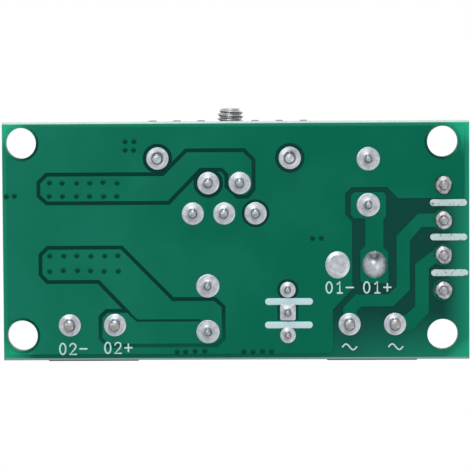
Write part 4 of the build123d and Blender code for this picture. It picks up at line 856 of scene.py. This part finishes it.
# Mask over a drilled hole: dark and dull, thin and greener round its rim
maskDull = {"Specular IOR Level": 0.04}
holeMask = mouldedFinish("maskInVia", "#022a20", "#03382b", 0.6, 0.1, 0.01, maskDull)
thinMask = mouldedFinish("maskRoundVia", "#095c46", "#0b624c", 0.5, 0.1, 0.01, maskDull)
vias = viaTree()
for name, radius, rise, look in (("via_rings", 0.3, 0.006, thinMask), ("via_middles", 0.15, 0.02, holeMask)):
    piece = grow(name, vias, {"Disc Radius": radius * mm, "Disc Rise": rise * mm}, look, viaPlaces)
    fit(piece, "board_laminate", "module")
print("vias placed:", len(viaPlaces))

# Leads with nipped ends, then moulded and pressed bodies, by how far their edges are rounded, in mm
edgeLook = {
    "ac_terminal_contacts": 0.07, "output_terminal_contacts": 0.07, "heatsink_pins": 0.25,
    "bridge_leads": 0.07, "input_capacitor_leads": 0.07, "output_capacitor_leads": 0.07,
    "regulator_leads": 0.07, "regulator_tab": 0.07, "trimmer_pins": 0.07, "ac_terminal_housing": 0.2,
    "output_terminal_housing": 0.2, "regulator_body": 0.12, "bridge_body": 0.2, "heatsink": 0.15,
    "diode_body": 0.08, "diode_leads": 0.04, "trimmer_case": 0.15, "inductor_shield": 0.15,
    "inductor_base": 0.1, "inductor_core": 0.12, "inductor_terminals": 0.05,
    "chip_resistors": 0.04, "chip_capacitors": 0.06, "chip_resistor_caps": 0.04, "chip_capacitor_caps": 0.05,
    "light_base": 0.04, "light_lens": 0.08, "heatsink_flat_washer": 0.08, "heatsink_spring_washer": 0.08,
}
cageEdge = 0.08
pinShadeLook = {"middle": 0.1, "slope": 0.4}  # painted shade on the end of a heatsink pin, at its middle and to its edge


def coatPins():
    # The solder bath coats the ends of the heatsink pins, and their upper halves get painted shade
    pins = scene.objects["heatsink_pins_finished"]
    pins.data.materials[0] = finishes["solder"]
    stain = pins.data.attributes.new("stain", "FLOAT", "POINT")
    places = [((low + high) / 2, (high - low) / 2) for low, high in islands("heatsink_pins")]
    for vertex in pins.data.vertices:
        centre, half = min(places, key=lambda place: (place[0] - vertex.co).xy.length)
        up = (vertex.co.y - centre.y) / half.y
        stain.data[vertex.index].value = min(1.0, max(0.0, pinShadeLook["middle"] + pinShadeLook["slope"] * up))


for nodeName, edge in edgeLook.items():
    softened(nodeName, edge)
coatPins()
print("bodies softened")
clampNames = [(side, number) for side in ("ac", "output") for number in (1, 2)]
for side, number in clampNames:
    softened(f"{side}_clamp_cage_{number}", cageEdge, f"{side}_clamp_cage_{number}")
for nodeName in ("input_capacitor_bung", "output_capacitor_bung", "inductor_winding"):
    nodes[nodeName].data.materials.clear()
    nodes[nodeName].data.materials.append(finishes[slotOf[nodeName]])

# Clamp screws: slotted heads over threaded shanks, in mm and degrees
clampLook = {
    "slotWidth": 0.55, "slotDepth": 0.7, "headHeight": 1.5, "shankRadius": 1.25, "pitch": 0.45,
    "threadDepth": 0.2, "rows": 80, "steps": 48, "sharpOver": 35,
}
thread = threadTree()


def addShank(name, look, length, place, slotName, body):
    # Threaded shank under a head, length in metres
    shank = grow(name, thread, {
        "Radius": look["shankRadius"] * mm, "Pitch": look["pitch"] * mm, "Depth": look["threadDepth"] * mm,
        "Length": length, "Rows": look["rows"]}, finishes[slotName], [(0, 0, 0)])
    shank.data.transform(place)
    fit(shank, slotName, body)


for side, number in clampNames:
    look = clampLook
    nodeName = f"{side}_clamp_screw_{number}"
    low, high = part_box(nodeName)
    centre = (low + high) / 2
    r, top = (high.x - low.x) / 2 / mm, high.z / mm
    neck = top - look["headHeight"]
    head = lathe(nodeName + "_head", [
        (0, neck), (r - 0.15, neck), (r, neck + 0.15), (r, top - 0.25), (r - 0.08, top - 0.08),
        (r - 0.28, top), (0, top)], look["steps"])
    cut(head, (2 * r + 1, look["slotWidth"], 2 * look["slotDepth"]), (0, 0, top))
    stand(head, centre, look["sharpOver"])
    fit(head, "zinc_steel", nodeName, nodeName)
    underHead = Matrix.Translation((centre.x, centre.y, neck * mm))
    addShank(nodeName + "_thread", look, neck * mm - low.z, underHead, "zinc_steel", nodeName)
print("clamp screws threaded")

# Heatsink screw: cross-recessed pan head towards -Y, thread through the tab and base, in mm and degrees
screwLook = {
    "headRadius": 2.75, "headHeight": 2.1, "crossLength": 2.8, "crossWidth": 0.7, "crossDepth": 1.2,
    "shankRadius": 1.5, "pitch": 0.5, "threadDepth": 0.26, "rows": 140, "steps": 48, "sharpOver": 35,
}


def makeHeatsinkScrew():
    look = screwLook
    low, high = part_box("heatsink_screw")
    centre = (low + high) / 2
    r, top = look["headRadius"], look["headHeight"]
    head = lathe("heatsink_screw_head", [
        (0, 0), (r - 0.15, 0), (r, 0.15), (r, 0.8), (r - 0.2, top - 0.75), (r - 0.7, top - 0.3),
        (r - 1.45, top - 0.05), (0, top)], look["steps"])
    for size in ((look["crossLength"], look["crossWidth"]), (look["crossWidth"], look["crossLength"])):
        cut(head, (*size, 2 * look["crossDepth"]), (0, 0, top))
    shift = Matrix.Translation((centre.x, low.y + top * mm, centre.z))
    underHead = shift @ Matrix.Rotation(math.pi / 2, 4, "X")
    stand(head, underHead, look["sharpOver"])
    fit(head, "screw_steel", "module", "heatsink_screw")
    addShank("heatsink_screw_thread", look, high.y - low.y - top * mm, underHead, "screw_steel", "module")


makeHeatsinkScrew()

# Trimmer screw: a slotted head over a thinner neck, in mm and degrees
trimmerLook = {
    "headHeight": 1.5, "neckRadius": 0.7, "slotWidth": 0.45, "slotDepth": 0.45, "steps": 40, "sharpOver": 35,
}


def makeTrimmerScrew():
    look = trimmerLook
    low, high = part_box("trimmer_screw")
    r, neck = (high.x - low.x) / 2 / mm, look["neckRadius"]
    bottom, top = low.z / mm, high.z / mm
    adjuster = lathe("trimmer_screw_turned", [
        (0, bottom), (neck - 0.1, bottom), (neck, bottom + 0.1), (neck, top - look["headHeight"]),
        (r, top - look["headHeight"]), (r, top - 0.15), (r - 0.12, top), (0, top)], look["steps"])
    cut(adjuster, (2 * r + 1, look["slotWidth"], 2 * look["slotDepth"]), (0, 0, top))
    stand(adjuster, (low + high) / 2, look["sharpOver"])
    fit(adjuster, "brass", "trimmer_screw", "trimmer_screw")


makeTrimmerScrew()

# Capacitors: aluminium can in a shrunk sleeve that laps over the rim of the scored top, in mm and degrees
canLook = {
    "radius": 5.0, "lip": 0.9, "grooveHeight": 2.6, "grooveWidth": 1.44, "grooveDepth": 0.55,
    "grooveSteps": 12, "bungRadius": 3.85, "bungDepth": 2.0, "lidDrop": 0.14, "scoreLength": 6.0,
    "scoreWidth": 0.3, "steps": 72, "sleeveSharp": 40, "lidSharp": 30,
}
# Drawn aluminium: pale and silky, with fine lines
canMetal = platedFinish("drawnAluminium", "#cfd2d4", "#b3b7ba", 0.3, 0.5)


def makeCapacitor(side):
    look = canLook
    low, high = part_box(f"{side}_capacitor_can")
    centre = (low + high) / 2
    bottom, top = low.z / mm, high.z / mm
    r, bung, lip = look["radius"], look["bungRadius"], look["radius"] - look["lip"]
    waist, lidTop = bottom + look["grooveHeight"], top - look["lidDrop"]
    shares = [i / look["grooveSteps"] for i in range(look["grooveSteps"] + 1)]
    groove = [(r - look["grooveDepth"] * math.sin(math.pi * share) ** 2,
               waist + look["grooveWidth"] * (share - 0.5)) for share in shares]
    sleeve = lathe(f"{side}_capacitor_sleeve_film", [
        (0, bottom + look["bungDepth"]), (bung, bottom + look["bungDepth"]), (bung + 0.05, bottom + 0.1),
        (bung + 0.15, bottom + 0.02), (r - 0.25, bottom), (r - 0.05, bottom + 0.15), (r, bottom + 0.4),
        *groove, (r, top - 0.5), (r - 0.08, top - 0.2), (r - 0.3, top - 0.03), (r - 0.6, top),
        (lip, top - 0.05), (lip, top - 0.4), (0, top - 0.4)], look["steps"])
    stand(sleeve, centre, look["sleeveSharp"])
    sleeve.data.materials.append(sleeveFinish(f"shrunkFilm_{side}", centre))
    fit(sleeve, "sleeve_film", "module", f"{side}_capacitor_can")
    lid = lathe(f"{side}_capacitor_top", [
        (0, top - 0.6), (r - 0.7, top - 0.6), (r - 0.75, top - 0.25), (r - 1.1, lidTop), (0, lidTop)],
        look["steps"])
    for size in ((look["scoreLength"], look["scoreWidth"]), (look["scoreWidth"], look["scoreLength"])):
        cut(lid, (*size, look["scoreWidth"]), (0, 0, lidTop))
    stand(lid, centre, look["lidSharp"])
    lid.data.materials.clear()
    lid.data.materials.append(canMetal)
    fit(lid, "sleeve_film", "module")


for side in ("input", "output"):
    makeCapacitor(side)
print("capacitors made")

# Camera at the photograph's place, below the board and looking up at the solder face, in mm and degrees
cameraLook = {
    "focalPixels": 2714.5, "imagePixels": 470, "distance": 300.0, "pitch": 3.252, "yaw": 1.143,
    "roll": -0.266, "right": 0.0803, "down": 0.6402, "boardCentre": (-0.44, -0.21), "sensor": 36,
}


def placeCamera():
    look = cameraLook
    pitch, yaw, roll = (Matrix.Rotation(math.radians(look[key]), 3, axis)
                        for key, axis in (("pitch", "X"), ("yaw", "Y"), ("roll", "Z")))
    turn = roll @ yaw @ pitch
    flip = Matrix.Diagonal((-1, -1, 1))
    right, down, ahead = (flip @ turn[i] for i in range(3))
    shift = Vector((look["right"], look["down"], look["distance"]))
    place = flip @ (turn.transposed() @ -shift) + Vector((*look["boardCentre"], 0))
    data = bpy.data.cameras.new("photoCamera")
    data.sensor_width = look["sensor"]
    data.lens = look["sensor"] * look["focalPixels"] / look["imagePixels"]
    data.clip_start = 0.01
    camera = newPiece("photoCamera", data)
    turned = Matrix((right, -down, -ahead)).transposed()
    camera.matrix_world = Matrix.Translation(place * mm) @ turned.to_4x4()
    scene.camera = camera


placeCamera()

# Studio: soft lamps above and below, white surround, and a pale floor that only a camera above it sees
studio = {
    "floorColour": "#eeeeec", "floorSize": 2.0, "ambient": 0.62,
    # Place and width in metres, and power in watts
    "lamps": [((0.10, 0.22, -0.42), 0.30, 0.62), ((-0.22, -0.16, -0.36), 0.30, 0.22),
              ((0.03, 0.50, -0.15), 0.25, 0.7), ((0.25, -0.30, 0.45), 0.35, 0.9),
              ((-0.35, 0.15, 0.35), 0.35, 0.45)],
}


def lightStudio():
    for place, size, power in studio["lamps"]:
        data = bpy.data.lights.new("softLamp", "AREA")
        data.shape = "SQUARE"
        data.size = size
        data.energy = power
        lamp = newPiece("softLamp", data)
        lamp.location = place
        lamp.rotation_euler = Vector(place).to_track_quat("Z", "Y").to_euler()
    scene.world = bpy.data.worlds.new("studio")
    scene.world.use_nodes = True
    add = partial(addNode, scene.world.node_tree)
    # The surround is plain white to the eye and dimmer as a light
    ray = add("ShaderNodeLightPath", {}).outputs
    seen = add("ShaderNodeMath", {0: ray["Is Camera Ray"], 1: ray["Is Glossy Ray"]}, operation="MAXIMUM")
    shown = add("ShaderNodeMath", {0: seen, 1: ray["Is Transmission Ray"]}, operation="MAXIMUM")
    strength = add("ShaderNodeMapRange", {"Value": shown, "To Min": studio["ambient"], "To Max": 1.0})
    feed(scene.world.node_tree.nodes["Background"], {"Color": (1, 1, 1, 1), "Strength": strength})


def layFloor():
    half, z = studio["floorSize"] / 2, cadBox[0][2]
    mesh = bpy.data.meshes.new("floor")
    corners = [(-half, -half, z), (half, -half, z), (half, half, z), (-half, half, z)]
    mesh.from_pydata(corners, [], [(0, 1, 2, 3)])
    floor = newPiece("floor", mesh)
    finish, add, shader = newFinish("paleFloor", {
        "Base Color": studio["floorColour"], "Roughness": 0.9, "Specular IOR Level": 0.1})
    clear = add("ShaderNodeBsdfTransparent", {})
    ray = add("ShaderNodeLightPath", {}).outputs["Is Camera Ray"]
    back = add("ShaderNodeNewGeometry", {}).outputs["Backfacing"]
    front = add("ShaderNodeMath", {0: 1.0, 1: back}, operation="SUBTRACT")
    visible = add("ShaderNodeMath", {0: ray, 1: front}, operation="MULTIPLY")
    mixed = add("ShaderNodeMixShader", {0: visible, 1: clear, 2: shader})
    feed(finish.node_tree.nodes["Material Output"], {"Surface": mixed})
    floor.data.materials.append(finish)


lightStudio()
layFloor()
scene.view_settings.view_transform = "Standard"
print("studio lit")
